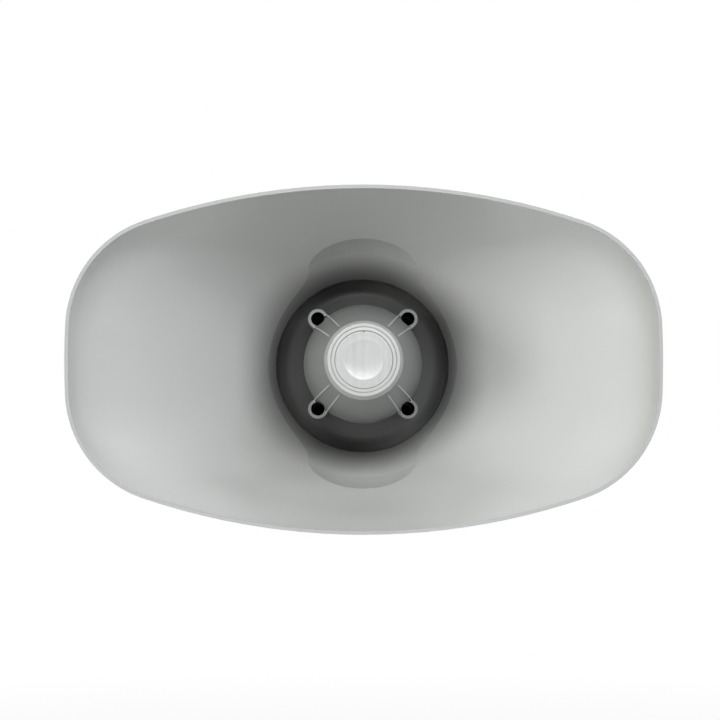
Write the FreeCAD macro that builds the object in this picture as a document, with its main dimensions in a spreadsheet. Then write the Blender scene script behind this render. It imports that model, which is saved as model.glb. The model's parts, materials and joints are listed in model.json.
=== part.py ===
"""A wide-mouth re-entrant public-address horn with its driver, transformer and tilting bracket.

Frame: origin at the centre of the bracket foot's wall face, +X to the right as the horn is seen
from the front, +Y back into the wall, +Z up.  The mouth faces -Y.  The horn's own pieces are
drawn in horn coordinates, in which Y is the depth behind the mouth plane, and are then set
forward by the distance between the wall and the mouth.
"""
import FreeCAD, Part
import math
import os

import Sketcher

DOCUMENT = FreeCAD.newDocument("public_address_horn")

# Driving dimensions in millimetres.
SIZES = {
    # Bracket and hinge
    "hinge_reach": 145.0,
    "hinge_depth": 215.0,
    "arm_gap": 187.0,
    "bracket_strap": 3.0,
    "bracket_width": 40.0,
    "bracket_bend": 9.0,
    "arm_tail": 20.0,
    "foot_hole_spacing": 100.0,
    "foot_hole_radius": 4.5,
    # Bell mouth and flare
    "mouth_width": 500.0,
    "mouth_height": 292.6,
    "mouth_corner": 96.0,
    "bell_wall": 3.0,
    "lip_depth": 22.0,
    "lip_draft": 3.5,
    "flare_lap": 4.0,
    "flare_end_width": 158.0,
    "flare_end_height": 152.0,
    "flare_end_corner": 75.0,
    "bowl_front": 106.0,
    "bowl_front_radius": 111.5,
    "crease_depth": 150.0,
    "crease_radius": 101.0,
    # Round throat and back plate of the bell
    "throat_radius": 79.0,
    "throat_depth": 188.0,
    "chamber_floor": 225.0,
    "chamber_corner": 13.0,
    "back_plate": 5.0,
    "neck_wall": 4.0,
    "hub_radius": 34.0,
    "hub_rise": 4.0,
    "hinge_boss_radius": 14.0,
    "hinge_rib": 3.0,
    # Reflector
    "seat_depth": 30.0,
    "seat_radius": 33.6,
    "seat_step": 2.5,
    "shoulder_radius": 52.8,
    "shoulder_depth": 142.0,
    "skirt_depth": 205.0,
    "skirt_draft": 0.8,
    "reflector_wall": 3.0,
    "socket_radius": 6.1,
    "socket_length": 6.0,
    "cusp_length": 19.0,
    "lug_offset": 40.0,
    "lug_radius": 8.7,
    "lug_front": 130.0,
    "well_radius": 6.0,
    "well_floor": 5.0,
    "ridge_rise": 2.2,
    "ridge_wall": 1.4,
    "ridge_gap_nose": 9.4,
    "ridge_gap_lug": 14.0,
    # Nose cap and badge
    "cap_rise": 16.0,
    "cap_radius": 30.8,
    "cap_wall": 2.2,
    "cap_edge": 0.8,
    "cap_floor": 1.9,
    "peg_radius": 6.0,
    "groove_radius": 27.6,
    "groove_width": 1.0,
    "groove_depth": 0.7,
    "badge_radius": 24.2,
    "badge_sink": 0.3,
    "badge_edge": 2.3,
    "dish_radius": 16.9,
    "dish_depth": 1.5,
    "notch_width": 2.4,
    "notch_depth": 1.3,
    # Throat horn
    "throat_bore": 12.5,
    "throat_exit": 20.0,
    "throat_front": 76.0,
    "throat_wall": 2.5,
    "throat_flange": 30.0,
    "throat_flange_thick": 3.0,
    # Compression driver
    "gasket": 1.5,
    "driver_radius": 48.0,
    "driver_plate": 8.0,
    "driver_recess": 30.0,
    "recess_depth": 6.5,
    "driver_screw_offset": 30.4,
    "diaphragm_film": 0.6,
    "dome_radius": 20.0,
    "dome_rise": 4.2,
    "diaphragm_radius": 34.0,
    "ring_thick": 1.9,
    "ring_bore": 30.0,
    "coil_radius": 19.2,
    "coil_wire": 0.7,
    "coil_length": 9.0,
    "top_plate": 6.0,
    "coil_clearance": 0.8,
    "magnet_radius": 37.0,
    "magnet_bore": 26.0,
    "magnet_thick": 16.0,
    "yoke_plate": 6.0,
    # Rear housing
    "housing_radius": 70.0,
    "housing_wall": 3.0,
    "housing_rear": 325.0,
    "housing_draft": 1.5,
    "housing_edge": 9.0,
    "flange_radius": 79.0,
    "flange_thick": 4.5,
    "flange_screw_offset": 52.7,
    # Line transformer
    "core_width": 48.0,
    "core_length": 40.0,
    "core_stack": 20.0,
    "core_leg": 8.0,
    "winding_overhang": 7.5,
    "winding_play": 0.3,
    "clamp_strap": 1.2,
    "clamp_width": 16.0,
    "clamp_foot": 15.0,
    "clamp_boss_radius": 5.0,
    "clamp_boss": 6.0,
    # Cable gland
    "gland_from_rear": 39.0,
    "gland_boss_radius": 15.0,
    "gland_seat": 73.0,
    "gland_boss_inside": 61.0,
    "gland_thread": 8.0,
    "gland_hex": 12.7,
    "gland_collar": 5.0,
    "gland_neck": 9.0,
    "gland_bore": 5.0,
    "seal_radius": 6.4,
    "seal_length": 8.0,
    "cable_hole": 3.4,
    "nut_radius": 11.0,
    "nut_length": 17.0,
    "locknut": 5.0,
    # Hinge hardware
    "bolt_radius": 4.0,
    "bolt_hex": 7.5,
    "bolt_head": 5.3,
    "bolt_shank": 17.5,
    "insert_radius": 6.0,
    "insert_length": 11.0,
    "washer_radius": 8.5,
    "washer_thick": 1.6,
    "spring_washer_radius": 7.4,
    "spring_washer": 2.0,
    "friction_radius": 14.0,
    "friction_thick": 1.5,
    "running_clearance": 0.08,
    # Screws
    "small_screw": 2.0,
    "small_head": 3.6,
    "small_head_rise": 2.4,
    "long_screw": 2.4,
    "long_head": 4.6,
    "long_head_rise": 3.2,
    "screw_boss": 4.5,
    "rear_boss": 6.0,
    "thread_clearance": 0.05,
    "hole_clearance": 0.3,
}

# Shape constants that are not lengths.
TOP_TURN = math.radians(18.7)
SIDE_TURN = math.radians(2.5)
WIDTH_SHARPNESS = 0.4
HEIGHT_SHARPNESS = -1.0
LIP_BLEND = 5.0
FLARE_STATIONS = 10
BOWL_BULGE = 0.05
QUARTER_BULGE = (1 - math.cos(math.pi / 4)) / (2 * math.sin(math.pi / 4))
DOME_BULGE = 0.16
ROLL_BULGE = 0.12
CUSP_BULGE = 0.04
NOSE_TURN = 0.18


def make_sheet():
    """Write the driving dimensions to a spreadsheet, one aliased cell each."""
    sheet = DOCUMENT.addObject("Spreadsheet::Sheet", "sizes")
    for row, (alias, value) in enumerate(SIZES.items(), start=1):
        sheet.set(f"A{row}", alias)
        sheet.set(f"B{row}", str(value))
        sheet.setAlias(f"B{row}", alias)
    DOCUMENT.recompute()
    return sheet


SHEET = make_sheet()


class Size:
    """A length with its value and the sheet expression that gives it."""

    def __init__(self, value, text):
        self.value = value
        self.text = text

    def __add__(self, other):
        other = as_size(other)
        return Size(self.value + other.value, f"({self.text} + {other.text})")

    def __sub__(self, other):
        other = as_size(other)
        return Size(self.value - other.value, f"({self.text} - {other.text})")

    def __mul__(self, other):
        other = as_size(other)
        return Size(self.value * other.value, f"({self.text} * {other.text})")

    def __truediv__(self, other):
        other = as_size(other)
        return Size(self.value / other.value, f"({self.text} / {other.text})")

    def __neg__(self):
        return Size(-self.value, f"(-1 * {self.text})")

    def root(self):
        return Size(math.sqrt(self.value), f"sqrt({self.text})")


def as_size(number):
    """Give a plain number the same form as a driving dimension."""
    if isinstance(number, Size):
        return number
    return Size(float(number), f"({number:.12f})")


def size(alias):
    """Read one driving dimension from the sheet."""
    return Size(float(SHEET.get(alias)), f"sizes.{alias}")


def bind(owner, path, length):
    """Tie a property or a sketch constraint to the sheet."""
    owner.setExpression(path, as_size(length).text)


# Places that several pieces share.
MOUTH_REACH = size("hinge_reach") + size("hinge_depth")
PLATE_REAR = size("chamber_floor") + size("back_plate")
GASKET_REAR = PLATE_REAR + size("gasket")
DRIVER_REAR = GASKET_REAR + size("driver_plate")
FILM_REAR = DRIVER_REAR + size("diaphragm_film")
RING_REAR = FILM_REAR + size("ring_thick")
TOP_REAR = RING_REAR + size("top_plate")
MAGNET_REAR = TOP_REAR + size("magnet_thick")
YOKE_REAR = MAGNET_REAR + size("yoke_plate")
FLARE_DEPTH = size("throat_depth") - size("flare_lap")
HOUSING_FLOOR = size("housing_rear") - size("housing_wall")
FLANGE_REAR = GASKET_REAR + size("flange_thick")
BOSS_FACE = size("arm_gap") / 2 - size("friction_thick")
ARM_OUTSIDE = size("arm_gap") / 2 + size("bracket_strap")
NECK_RADIUS = size("throat_radius") + size("neck_wall")
CLAMP_SEAT = HOUSING_FLOOR - size("clamp_boss")
GLAND_DEPTH = size("housing_rear") - size("gland_from_rear")
CLAMP_SCREW_X = size("core_width") / 2 + size("clamp_strap") + size("clamp_foot") / 2


def origin_part(body, role):
    """Find a plane or an axis of a body's own origin."""
    return [part for part in body.Origin.OriginFeatures if part.Role == role][0]


def new_body(name):
    return DOCUMENT.addObject("PartDesign::Body", name)


def new_sketch(body, name, role, offset=None):
    """Attach a sketch to one of the body's own planes, at an offset along the plane's normal."""
    sketch = body.newObject("Sketcher::SketchObject", name)
    sketch.AttachmentSupport = [(origin_part(body, role), "")]
    sketch.MapMode = "FlatFace"
    if offset is not None:
        bind(sketch, "AttachmentOffset.Base.z", offset)
    return sketch


def hold_point(sketch, geometry, position, across, along):
    """Fix one point of a sketch at a distance across and along from the origin."""
    for kind, length, axis in (("DistanceX", across, -2), ("DistanceY", along, -1)):
        length = as_size(length)
        if abs(length.value) < 1e-9:
            sketch.addConstraint(Sketcher.Constraint("PointOnObject", geometry, position, axis))
            continue
        rule = Sketcher.Constraint(kind, -1, 1, geometry, position, length.value)
        index = sketch.addConstraint(rule)
        bind(sketch, f"Constraints[{index}]", length)


def arc_edge(start, end, bulge):
    """Arc from start to end whose middle lies bulge times the chord to the left of it."""
    chord = end - start
    left = FreeCAD.Vector(-chord.y, chord.x, 0)
    middle = (start + end) * 0.5 + left * bulge
    circle = Part.Arc(start, middle, end).toShape().Curve
    centre = circle.Center
    first, last = (end, start) if bulge > 0 else (start, end)
    angles = [math.atan2(point.y - centre.y, point.x - centre.x) for point in (first, last)]
    if angles[1] < angles[0]:
        angles[1] += 2 * math.pi
    upright = Part.Circle(centre, FreeCAD.Vector(0, 0, 1), circle.Radius)
    return Part.ArcOfCircle(upright, angles[0], angles[1])


def cap_bulge(radius, height):
    """Bulge of the half-section of a spherical cap, so that its centre lies on the axis."""
    radius, height = as_size(radius).value, as_size(height).value
    sphere = (radius**2 + height**2) / (2 * height)
    chord = math.hypot(radius, height)
    return (sphere - math.sqrt(sphere**2 - chord**2 / 4)) / chord


def tangent_bulge(spread, run):
    """Bulge of an arc along the axis that ends parallel to it."""
    return math.tan(math.atan2(as_size(spread).value, as_size(run).value) / 2) / 2


def draw_outline(sketch, points):
    """Draw a closed outline; a point's third value bows the edge that leaves it."""
    first = sketch.GeometryCount
    ends = []
    for index, point in enumerate(points):
        following = points[(index + 1) % len(points)]
        across, along = as_size(point[0]), as_size(point[1])
        next_across, next_along = as_size(following[0]), as_size(following[1])
        start = FreeCAD.Vector(across.value, along.value, 0)
        end = FreeCAD.Vector(next_across.value, next_along.value, 0)
        bulge = point[2] if len(point) > 2 else 0
        if not bulge:
            ends.append((sketch.addGeometry(Part.LineSegment(start, end)), 1, 2))
            continue
        edge = sketch.addGeometry(arc_edge(start, end, bulge))
        ends.append((edge, 2, 1) if bulge > 0 else (edge, 1, 2))
        run, climb = next_across - across, next_along - along
        chord = (run * run + climb * climb).root()
        radius = chord * ((0.25 + bulge**2) / (2 * abs(bulge)))
        rule = sketch.addConstraint(Sketcher.Constraint("Radius", edge, radius.value))
        bind(sketch, f"Constraints[{rule}]", radius)
    for index, (edge, begin, _) in enumerate(ends):
        previous, _, finish = ends[index - 1]
        sketch.addConstraint(Sketcher.Constraint("Coincident", previous, finish, edge, begin))
        hold_point(sketch, edge, begin, points[index][0], points[index][1])
    return first


def draw_circle(sketch, across, along, radius):
    """Draw a circle with its centre and radius tied to the sheet."""
    across, along, radius = as_size(across), as_size(along), as_size(radius)
    centre = FreeCAD.Vector(across.value, along.value, 0)
    index = sketch.addGeometry(Part.Circle(centre, FreeCAD.Vector(0, 0, 1), radius.value))
    rule = sketch.addConstraint(Sketcher.Constraint("Radius", index, radius.value))
    bind(sketch, f"Constraints[{rule}]", radius)
    hold_point(sketch, index, 3, across, along)


def rectangle(low_across, low_along, high_across, high_along):
    """Corner points of a rectangle, counter-clockwise."""
    return [
        (low_across, low_along),
        (high_across, low_along),
        (high_across, high_along),
        (low_across, high_along),
    ]


def turned(name, outline, axis="Y"):
    """Revolve an outline of (radius, distance along the axis) points about an axis."""
    body = new_body(name)
    role = "XZ_Plane" if axis == "Z" else "XY_Plane"
    sketch = new_sketch(body, f"{name}_outline", role)
    if axis == "X":
        outline = [(point[1], point[0], *(-bow for bow in point[2:])) for point in outline]
    draw_outline(sketch, outline)
    revolution = body.newObject("PartDesign::Revolution", f"{name}_turned")
    revolution.Profile = sketch
    revolution.ReferenceAxis = (sketch, ["H_Axis" if axis == "X" else "V_Axis"])
    revolution.Angle = 360
    return body


def pad(body, name, sketch, length, reverse=False, midplane=False):
    """Raise a sketch into a solid."""
    feature = body.newObject("PartDesign::Pad", name)
    feature.Profile = sketch
    bind(feature, "Length", length)
    feature.Reversed = reverse
    feature.Midplane = midplane
    return feature


def pocket(body, name, sketch, length=None, reverse=False, midplane=False):
    """Cut a sketch out of a solid, through all of it where no length is given."""
    feature = body.newObject("PartDesign::Pocket", name)
    feature.Profile = sketch
    if length is None:
        feature.Type = "ThroughAll"
    else:
        bind(feature, "Length", length)
    feature.Reversed = reverse
    feature.Midplane = midplane
    return feature


def diagonal_holes(body, name, depth, length, offset, radius):
    """Sink four round holes rearwards from a depth, at equal offsets up, down and sideways."""
    sketch = new_sketch(body, f"{name}_places", "XZ_Plane", -as_size(depth))
    for across in (-offset, offset):
        for along in (-offset, offset):
            draw_circle(sketch, across, along, radius)
    return pocket(body, name, sketch, length)


def cylinder(name, radius, length, base, axis="Y"):
    """Round bar that starts at base and runs along an axis."""
    bar = DOCUMENT.addObject("Part::Cylinder", name)
    bind(bar, "Radius", radius)
    bind(bar, "Height", length)
    turn = {
        "X": FreeCAD.Rotation(FreeCAD.Vector(0, 1, 0), 90),
        "Y": FreeCAD.Rotation(FreeCAD.Vector(1, 0, 0), -90),
        "Z": FreeCAD.Rotation(),
    }
    bar.Placement = FreeCAD.Placement(FreeCAD.Vector(), turn[axis])
    for letter, place in zip("xyz", base):
        bind(bar, f"Placement.Base.{letter}", place)
    return bar


def block(name, low, high):
    """Rectangular block between two corners."""
    box = DOCUMENT.addObject("Part::Box", name)
    for side, start, end in zip(("Length", "Width", "Height"), low, high):
        bind(box, side, as_size(end) - start)
    for letter, place in zip("xyz", low):
        bind(box, f"Placement.Base.{letter}", place)
    return box


def hexagon(name, circumradius, length, base, axis):
    """Six-sided bar that starts at base and runs along an axis."""
    bar = DOCUMENT.addObject("Part::Prism", name)
    bar.Polygon = 6
    bind(bar, "Circumradius", circumradius)
    bind(bar, "Height", length)
    turn = {"X": FreeCAD.Rotation(FreeCAD.Vector(0, 1, 0), 90), "Z": FreeCAD.Rotation()}
    bar.Placement = FreeCAD.Placement(FreeCAD.Vector(), turn[axis])
    for letter, place in zip("xyz", base):
        bind(bar, f"Placement.Base.{letter}", place)
    return bar


def fused(name, members):
    union = DOCUMENT.addObject("Part::MultiFuse", name)
    union.Shapes = members
    union.Refine = True
    return union


def cut(name, base, tool):
    difference = DOCUMENT.addObject("Part::Cut", name)
    difference.Base = base
    difference.Tool = tool
    difference.Refine = True
    return difference


def mirrored(name, source, normal):
    """Mirror image of an object in a plane through the origin."""
    image = DOCUMENT.addObject("Part::Mirroring", name)
    image.Source = source
    image.Normal = normal
    return image


def gathered(name, members):
    """Group of separate like solids."""
    group = DOCUMENT.addObject("Part::Compound", name)
    group.Links = members
    return group


def left_and_right(name, source):
    """The object and its mirror image, as a list."""
    return [source, mirrored(f"{name}_left", source, FreeCAD.Vector(1, 0, 0))]


def four_quarters(name, source):
    """The object and its mirror images in the other three quarters, as a list."""
    upper = left_and_right(f"{name}_upper", source)
    lower = [
        mirrored(f"{name}_lower_{index}", member, FreeCAD.Vector(0, 0, 1))
        for index, member in enumerate(upper)
    ]
    return upper + lower


def bell_section(half_width, half_height, corner, depth):
    """Rounded outline of eight tangent arcs at a depth: top, bottom, sides and corners."""
    sin_top, cos_top = math.sin(TOP_TURN), math.cos(TOP_TURN)
    sin_side, cos_side = math.sin(SIDE_TURN), math.cos(SIDE_TURN)
    width_left = half_width - corner * (cos_side - sin_top)
    height_left = half_height - corner * (cos_top - sin_side)
    scale = sin_top * sin_side - (1 - cos_top) * (1 - cos_side)
    top_radius = (width_left * sin_side - height_left * (1 - cos_side)) / scale
    side_radius = (height_left * sin_top - width_left * (1 - cos_top)) / scale
    corner_x = (top_radius - corner) * sin_top
    corner_z = half_height - top_radius + (top_radius - corner) * cos_top
    edges = []
    for quarter in range(4):
        mirror_x = 1 if quarter in (0, 3) else -1
        mirror_z = 1 if quarter in (0, 1) else -1
        arcs = [
            ((half_width - side_radius, 0), side_radius, 0, SIDE_TURN),
            ((corner_x, corner_z), corner, SIDE_TURN, math.pi / 2 - TOP_TURN),
            ((0, half_height - top_radius), top_radius, math.pi / 2 - TOP_TURN, math.pi / 2),
        ]
        if mirror_x * mirror_z < 0:
            arcs = [(centre, radius, end, start) for centre, radius, start, end in arcs[::-1]]
        for (across, up), radius, start, end in arcs:
            places = []
            for angle in (start, (start + end) / 2, end):
                x = mirror_x * (across + radius * math.cos(angle))
                z = mirror_z * (up + radius * math.sin(angle))
                places.append(FreeCAD.Vector(x, depth, z))
            edges.append(Part.Arc(*places).toShape())
    return Part.Wire(edges)


class Flare:
    """Half-width or half-height of the bell's inside as a function of depth.

    A slightly drafted lip runs back from the mouth and turns smoothly into an exponential
    curve.  A positive sharpness opens it towards the mouth, a negative one closes it towards
    its end inside the round bowl.
    """

    def __init__(self, mouth_half, end_half, sharpness):
        self.mouth_half = mouth_half
        self.end_half = end_half
        self.sharpness = sharpness
        self.lip = SHEET.get("lip_depth")
        self.draft = SHEET.get("lip_draft")
        self.end = FLARE_DEPTH.value
        self.wall = SHEET.get("bell_wall")
        self.mouth_shift = 0.0
        self.end_shift = 0.0
        self.mouth_shift = mouth_half - self.outside(0.0)
        self.end_shift = end_half - self.inside(self.end)
        self.mouth_shift += mouth_half - self.outside(0.0)

    def inside(self, depth):
        """Half-size of the inner surface."""
        lip_end = self.mouth_half - self.wall - self.draft
        lip = lip_end + self.draft * (1 - depth / self.lip)
        run = (self.end - depth) / (self.end - self.lip)
        growth = (math.exp(self.sharpness * run) - 1) / (math.exp(self.sharpness) - 1)
        flare = self.end_half + (lip_end - self.end_half) * growth
        blend = math.sqrt(((lip - flare) / 2) ** 2 + LIP_BLEND**2)
        share = depth / self.end
        shift = self.mouth_shift * (1 - share) + self.end_shift * share
        return (lip + flare) / 2 - blend + shift

    def slope(self, depth):
        """How fast the half-size falls with depth."""
        step = 0.01
        return (self.inside(depth - step) - self.inside(depth + step)) / (2 * step)

    def outside(self, depth):
        """Half-size of the outer surface, one wall away square to the inner one."""
        return self.inside(depth) + self.wall * math.sqrt(1 + self.slope(depth) ** 2)


def flare_forms():
    """Solid forms of the flare: its outer body and its inner space, both ending in the bowl."""
    wall = SHEET.get("bell_wall")
    end = FLARE_DEPTH.value
    width_half, end_width_half = SHEET.get("mouth_width") / 2, SHEET.get("flare_end_width") / 2
    height_half, end_height_half = SHEET.get("mouth_height") / 2, SHEET.get("flare_end_height") / 2
    width = Flare(width_half, end_width_half, WIDTH_SHARPNESS)
    height = Flare(height_half, end_height_half, HEIGHT_SHARPNESS)
    mouth_corner = SHEET.get("mouth_corner") - wall
    end_corner = SHEET.get("flare_end_corner")
    depths = [end * (index / (FLARE_STATIONS - 1)) ** 1.2 for index in range(FLARE_STATIONS)]
    forms = []
    for outer in (True, False):
        sections = []
        for depth in depths:
            share = depth / end
            corner = mouth_corner + (end_corner - mouth_corner) * share
            if outer:
                half_width, half_height = width.outside(depth), height.outside(depth)
                corner += wall
            else:
                half_width, half_height = width.inside(depth), height.inside(depth)
            sections.append(bell_section(half_width, half_height, corner, depth))
        forms.append(Part.makeLoft(sections, True, False))
    return forms


def bowl_form(name, wall):
    """Round bowl that the flare opens into: a cone from the throat and a slack front part."""
    front = size("bowl_front")
    crease = size("crease_depth")
    throat = size("throat_depth")
    outline = [
        (0, front),
        (size("bowl_front_radius") + wall, front, -BOWL_BULGE),
        (size("crease_radius") + wall, crease),
        (size("throat_radius") + wall, throat),
        (0, throat),
    ]
    return turned(name, outline)


def flare_feature(name, shape):
    """Put a lofted form into the document."""
    feature = DOCUMENT.addObject("Part::Feature", name)
    feature.Shape = shape
    return feature


def neck_outer_form():
    """Round neck that closes the bell behind the flare."""
    edge = size("neck_wall")
    outline = [
        (0, size("throat_depth")),
        (NECK_RADIUS, size("throat_depth")),
        (NECK_RADIUS, PLATE_REAR - edge, -QUARTER_BULGE),
        (NECK_RADIUS - edge, PLATE_REAR),
        (0, PLATE_REAR),
    ]
    return turned("neck_outer_form", outline)


def neck_cavity_form():
    """Space inside the neck, with a rounded corner and a raised hub at its floor."""
    floor = size("chamber_floor")
    corner = size("chamber_corner")
    hub_front = floor - size("hub_rise")
    outline = [
        (0, size("throat_depth")),
        (size("throat_radius"), size("throat_depth")),
        (size("throat_radius"), floor - corner, -QUARTER_BULGE),
        (size("throat_radius") - corner, floor),
        (size("hub_radius"), floor),
        (size("hub_radius") - size("hub_rise") / 2, hub_front),
        (0, hub_front),
    ]
    return turned("neck_cavity_form", outline)


def hinge_bosses():
    """Boss on each side of the neck that takes the hinge bolt, with a rib ahead and behind."""
    depth = size("hinge_depth")
    radius = size("hinge_boss_radius")
    inside = size("throat_radius") + size("neck_wall") / 2
    boss = cylinder("hinge_boss", radius, BOSS_FACE - inside, (inside, depth, 0), "X")
    rib_half = size("hinge_rib") / 2
    rib_low = (inside, size("throat_depth") - size("neck_wall"), -rib_half)
    rib_high = (BOSS_FACE - size("hinge_rib"), depth, rib_half)
    rib = block("hinge_rib", rib_low, rib_high)
    cross_low = (inside, depth - rib_half, -(radius + size("neck_wall")))
    cross_high = (NECK_RADIUS + size("hinge_rib"), depth + rib_half, radius + size("neck_wall"))
    cross_rib = block("hinge_cross_rib", cross_low, cross_high)
    side = fused("hinge_side", [boss, rib, cross_rib])
    return left_and_right("hinge_side", side)


def plate_bosses():
    """Bosses on the back plate: four ahead of it for the driver, four behind for the posts."""
    ahead = cylinder(
        "driver_boss",
        size("screw_boss"),
        size("back_plate") + size("hub_rise") * 2,
        (
            size("driver_screw_offset"),
            size("chamber_floor") - size("hub_rise") * 2,
            size("driver_screw_offset"),
        ),
    )
    behind = cylinder(
        "reflector_boss",
        size("rear_boss"),
        size("back_plate") + size("driver_plate"),
        (size("lug_offset"), size("chamber_floor"), size("lug_offset")),
    )
    return four_quarters("driver_boss", ahead), four_quarters("reflector_boss", behind)


def bell_drillings():
    """Everything that is bored out of the bell besides its horn space."""
    tight = size("thread_clearance")
    throat_hole = cylinder(
        "throat_hole",
        size("throat_bore") + size("throat_wall") + size("hole_clearance"),
        size("hub_rise") * 3,
        (0, size("chamber_floor") - size("hub_rise") * 2, 0),
    )
    flange_recess = cylinder(
        "flange_recess",
        size("throat_flange") + size("hole_clearance"),
        size("throat_flange_thick") + 1,
        (0, PLATE_REAR - size("throat_flange_thick"), 0),
    )
    driver_hole = cylinder(
        "driver_hole",
        size("small_screw") + tight,
        size("back_plate") + size("hub_rise") * 1.5 + 1,
        (
            size("driver_screw_offset"),
            size("chamber_floor") - size("hub_rise") * 1.5,
            size("driver_screw_offset"),
        ),
    )
    post_hole = cylinder(
        "post_hole",
        size("long_screw") + tight,
        size("back_plate") + size("driver_plate") - 1,
        (size("lug_offset"), size("chamber_floor") - 0.5, size("lug_offset")),
    )
    flange_hole = cylinder(
        "flange_hole",
        size("small_screw") + tight,
        size("chamber_corner") / 2 + 1,
        (
            size("flange_screw_offset"),
            PLATE_REAR - size("chamber_corner") / 2,
            size("flange_screw_offset"),
        ),
    )
    insert_hole = cylinder(
        "insert_hole",
        size("insert_radius") + tight,
        size("insert_length") + 1,
        (BOSS_FACE - size("insert_length"), size("hinge_depth"), 0),
        "X",
    )
    holes = [throat_hole, flange_recess]
    holes += four_quarters("driver_hole", driver_hole)
    holes += four_quarters("post_hole", post_hole)
    holes += four_quarters("flange_hole", flange_hole)
    holes += left_and_right("insert_hole", insert_hole)
    return fused("bell_drillings", holes)


def horn_bell():
    """Bell: flare, round bowl and neck, back plate, bosses and ribs, moulded as one piece."""
    outer, inner = flare_forms()
    solid = fused(
        "bell_solid",
        [
            flare_feature("flare_outer_form", outer),
            bowl_form("bowl_outer_form", size("neck_wall")),
            neck_outer_form(),
            *hinge_bosses(),
        ],
    )
    cavity = fused(
        "bell_cavity",
        [
            flare_feature("flare_cavity_form", inner),
            bowl_form("bowl_cavity_form", as_size(0)),
            neck_cavity_form(),
        ],
    )
    ahead, behind = plate_bosses()
    shell = cut("bell_shell", solid, cavity)
    bossed = fused("bell_bossed", [shell, *ahead, *behind])
    return cut("bell", bossed, bell_drillings())


def reflector_outline():
    """Half-section of the reflector: seat for the cap, long nose, skirt and the inner cusp."""
    wall = size("reflector_wall")
    seat = size("seat_depth")
    seat_edge = seat + size("seat_step")
    tip = size("skirt_depth")
    inner_shoulder = size("shoulder_radius") - wall
    inner_nose = seat_edge + wall * 3
    socket_end = seat + size("socket_length")
    depth = size("shoulder_depth")
    bow = tangent_bulge(size("shoulder_radius") - size("seat_radius"), depth - seat_edge)
    inner_bow = tangent_bulge(inner_shoulder - size("seat_radius"), depth - inner_nose)
    return [
        (0, socket_end),
        (size("socket_radius"), socket_end),
        (size("socket_radius"), seat),
        (size("seat_radius"), seat),
        (size("seat_radius"), seat_edge, -bow),
        (size("shoulder_radius"), depth),
        (size("shoulder_radius") - size("skirt_draft"), tip),
        (inner_shoulder - size("skirt_draft"), tip),
        (inner_shoulder, depth, inner_bow),
        (size("seat_radius"), inner_nose, NOSE_TURN),
        (size("seat_radius") / 2, seat + wall * 2, CUSP_BULGE),
        (0, seat + size("cusp_length")),
    ]


def ridge_envelope():
    """Skin just proud of the nose, which the ridges fill from the middle of its wall."""
    rise = size("ridge_rise")
    half_wall = size("reflector_wall") / 2
    front = size("seat_depth") + size("seat_step")
    rear = size("shoulder_depth")
    bow = tangent_bulge(size("shoulder_radius") - size("seat_radius"), rear - front)
    outline = [
        (size("seat_radius") - half_wall, front),
        (size("seat_radius") + rise / 4, front, -bow),
        (size("shoulder_radius") + rise, rear),
        (size("shoulder_radius") + rise, rear + rise),
        (size("shoulder_radius") - half_wall, rear + rise),
        (size("shoulder_radius") - half_wall, rear, bow),
    ]
    return turned("ridge_envelope", outline)


def ridge_pair():
    """Two thin upright walls that narrow from a lug towards the cap, drawn along X."""
    body = new_body("ridge_pair")
    start = size("seat_radius") - size("reflector_wall")
    end = size("lug_offset") * math.sqrt(2)
    half_nose = size("ridge_gap_nose") / 2
    half_lug = size("ridge_gap_lug") / 2
    wall = size("ridge_wall")
    front = size("seat_depth") - size("ridge_rise")
    outer = new_sketch(body, "ridge_outer_plan", "XZ_Plane", -front)
    outer_plan = [
        (start, -(half_nose + wall)),
        (end, -(half_lug + wall)),
        (end, half_lug + wall),
        (start, half_nose + wall),
    ]
    draw_outline(outer, outer_plan)
    depth = size("shoulder_depth") + size("ridge_rise") - front
    pad(body, "ridge_blank", outer, depth, reverse=True)
    inner = new_sketch(body, "ridge_inner_plan", "XZ_Plane", -(front - 1))
    stop = end - size("well_radius") / 2
    inner_plan = [
        (start - 1, -half_nose),
        (stop, -half_lug),
        (stop, half_lug),
        (start - 1, half_nose),
    ]
    draw_outline(inner, inner_plan)
    pocket(body, "ridge_channel", inner, depth + 2)
    body.Placement.Rotation = FreeCAD.Rotation(FreeCAD.Vector(0, 1, 0), -45)
    return body


def reflector():
    """Reflector: closed nose, screw lugs with deep wells, keyhole ridges and long posts."""
    shell = turned("reflector_shell", reflector_outline())
    ridges = fused("ridge_walls", four_quarters("ridge_pair", ridge_pair()))
    trimmed = DOCUMENT.addObject("Part::Common", "ridges_trimmed")
    trimmed.Base = ridges
    trimmed.Tool = ridge_envelope()
    offset = size("lug_offset")
    post_length = size("chamber_floor") - size("lug_front")
    post_base = (offset, size("lug_front"), offset)
    post = cylinder("post", size("lug_radius"), post_length, post_base)
    inside = size("shoulder_radius") - size("reflector_wall")
    inner_space = turned(
        "reflector_inner_space",
        [
            (0, size("lug_front") - 1),
            (inside, size("lug_front") - 1),
            (inside, size("shoulder_depth")),
            (inside - size("skirt_draft"), size("skirt_depth")),
            (0, size("skirt_depth")),
        ],
    )
    posts = fused("posts", four_quarters("post", post))
    trimmed_posts = cut("posts_trimmed", posts, inner_space)
    whole = fused("reflector_solid", [shell, trimmed, trimmed_posts])
    well_start = size("seat_depth")
    well_end = size("chamber_floor") - size("well_floor")
    well_base = (offset, well_start, offset)
    well = cylinder("well", size("well_radius"), well_end - well_start, well_base)
    through = cylinder(
        "post_screw_hole",
        size("long_screw") + size("hole_clearance"),
        size("well_floor") + 2,
        (offset, well_end - 1, offset),
    )
    bores = fused("wells", four_quarters("well", fused("well_bore", [well, through])))
    return cut("reflector_moulding", whole, bores)


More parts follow.
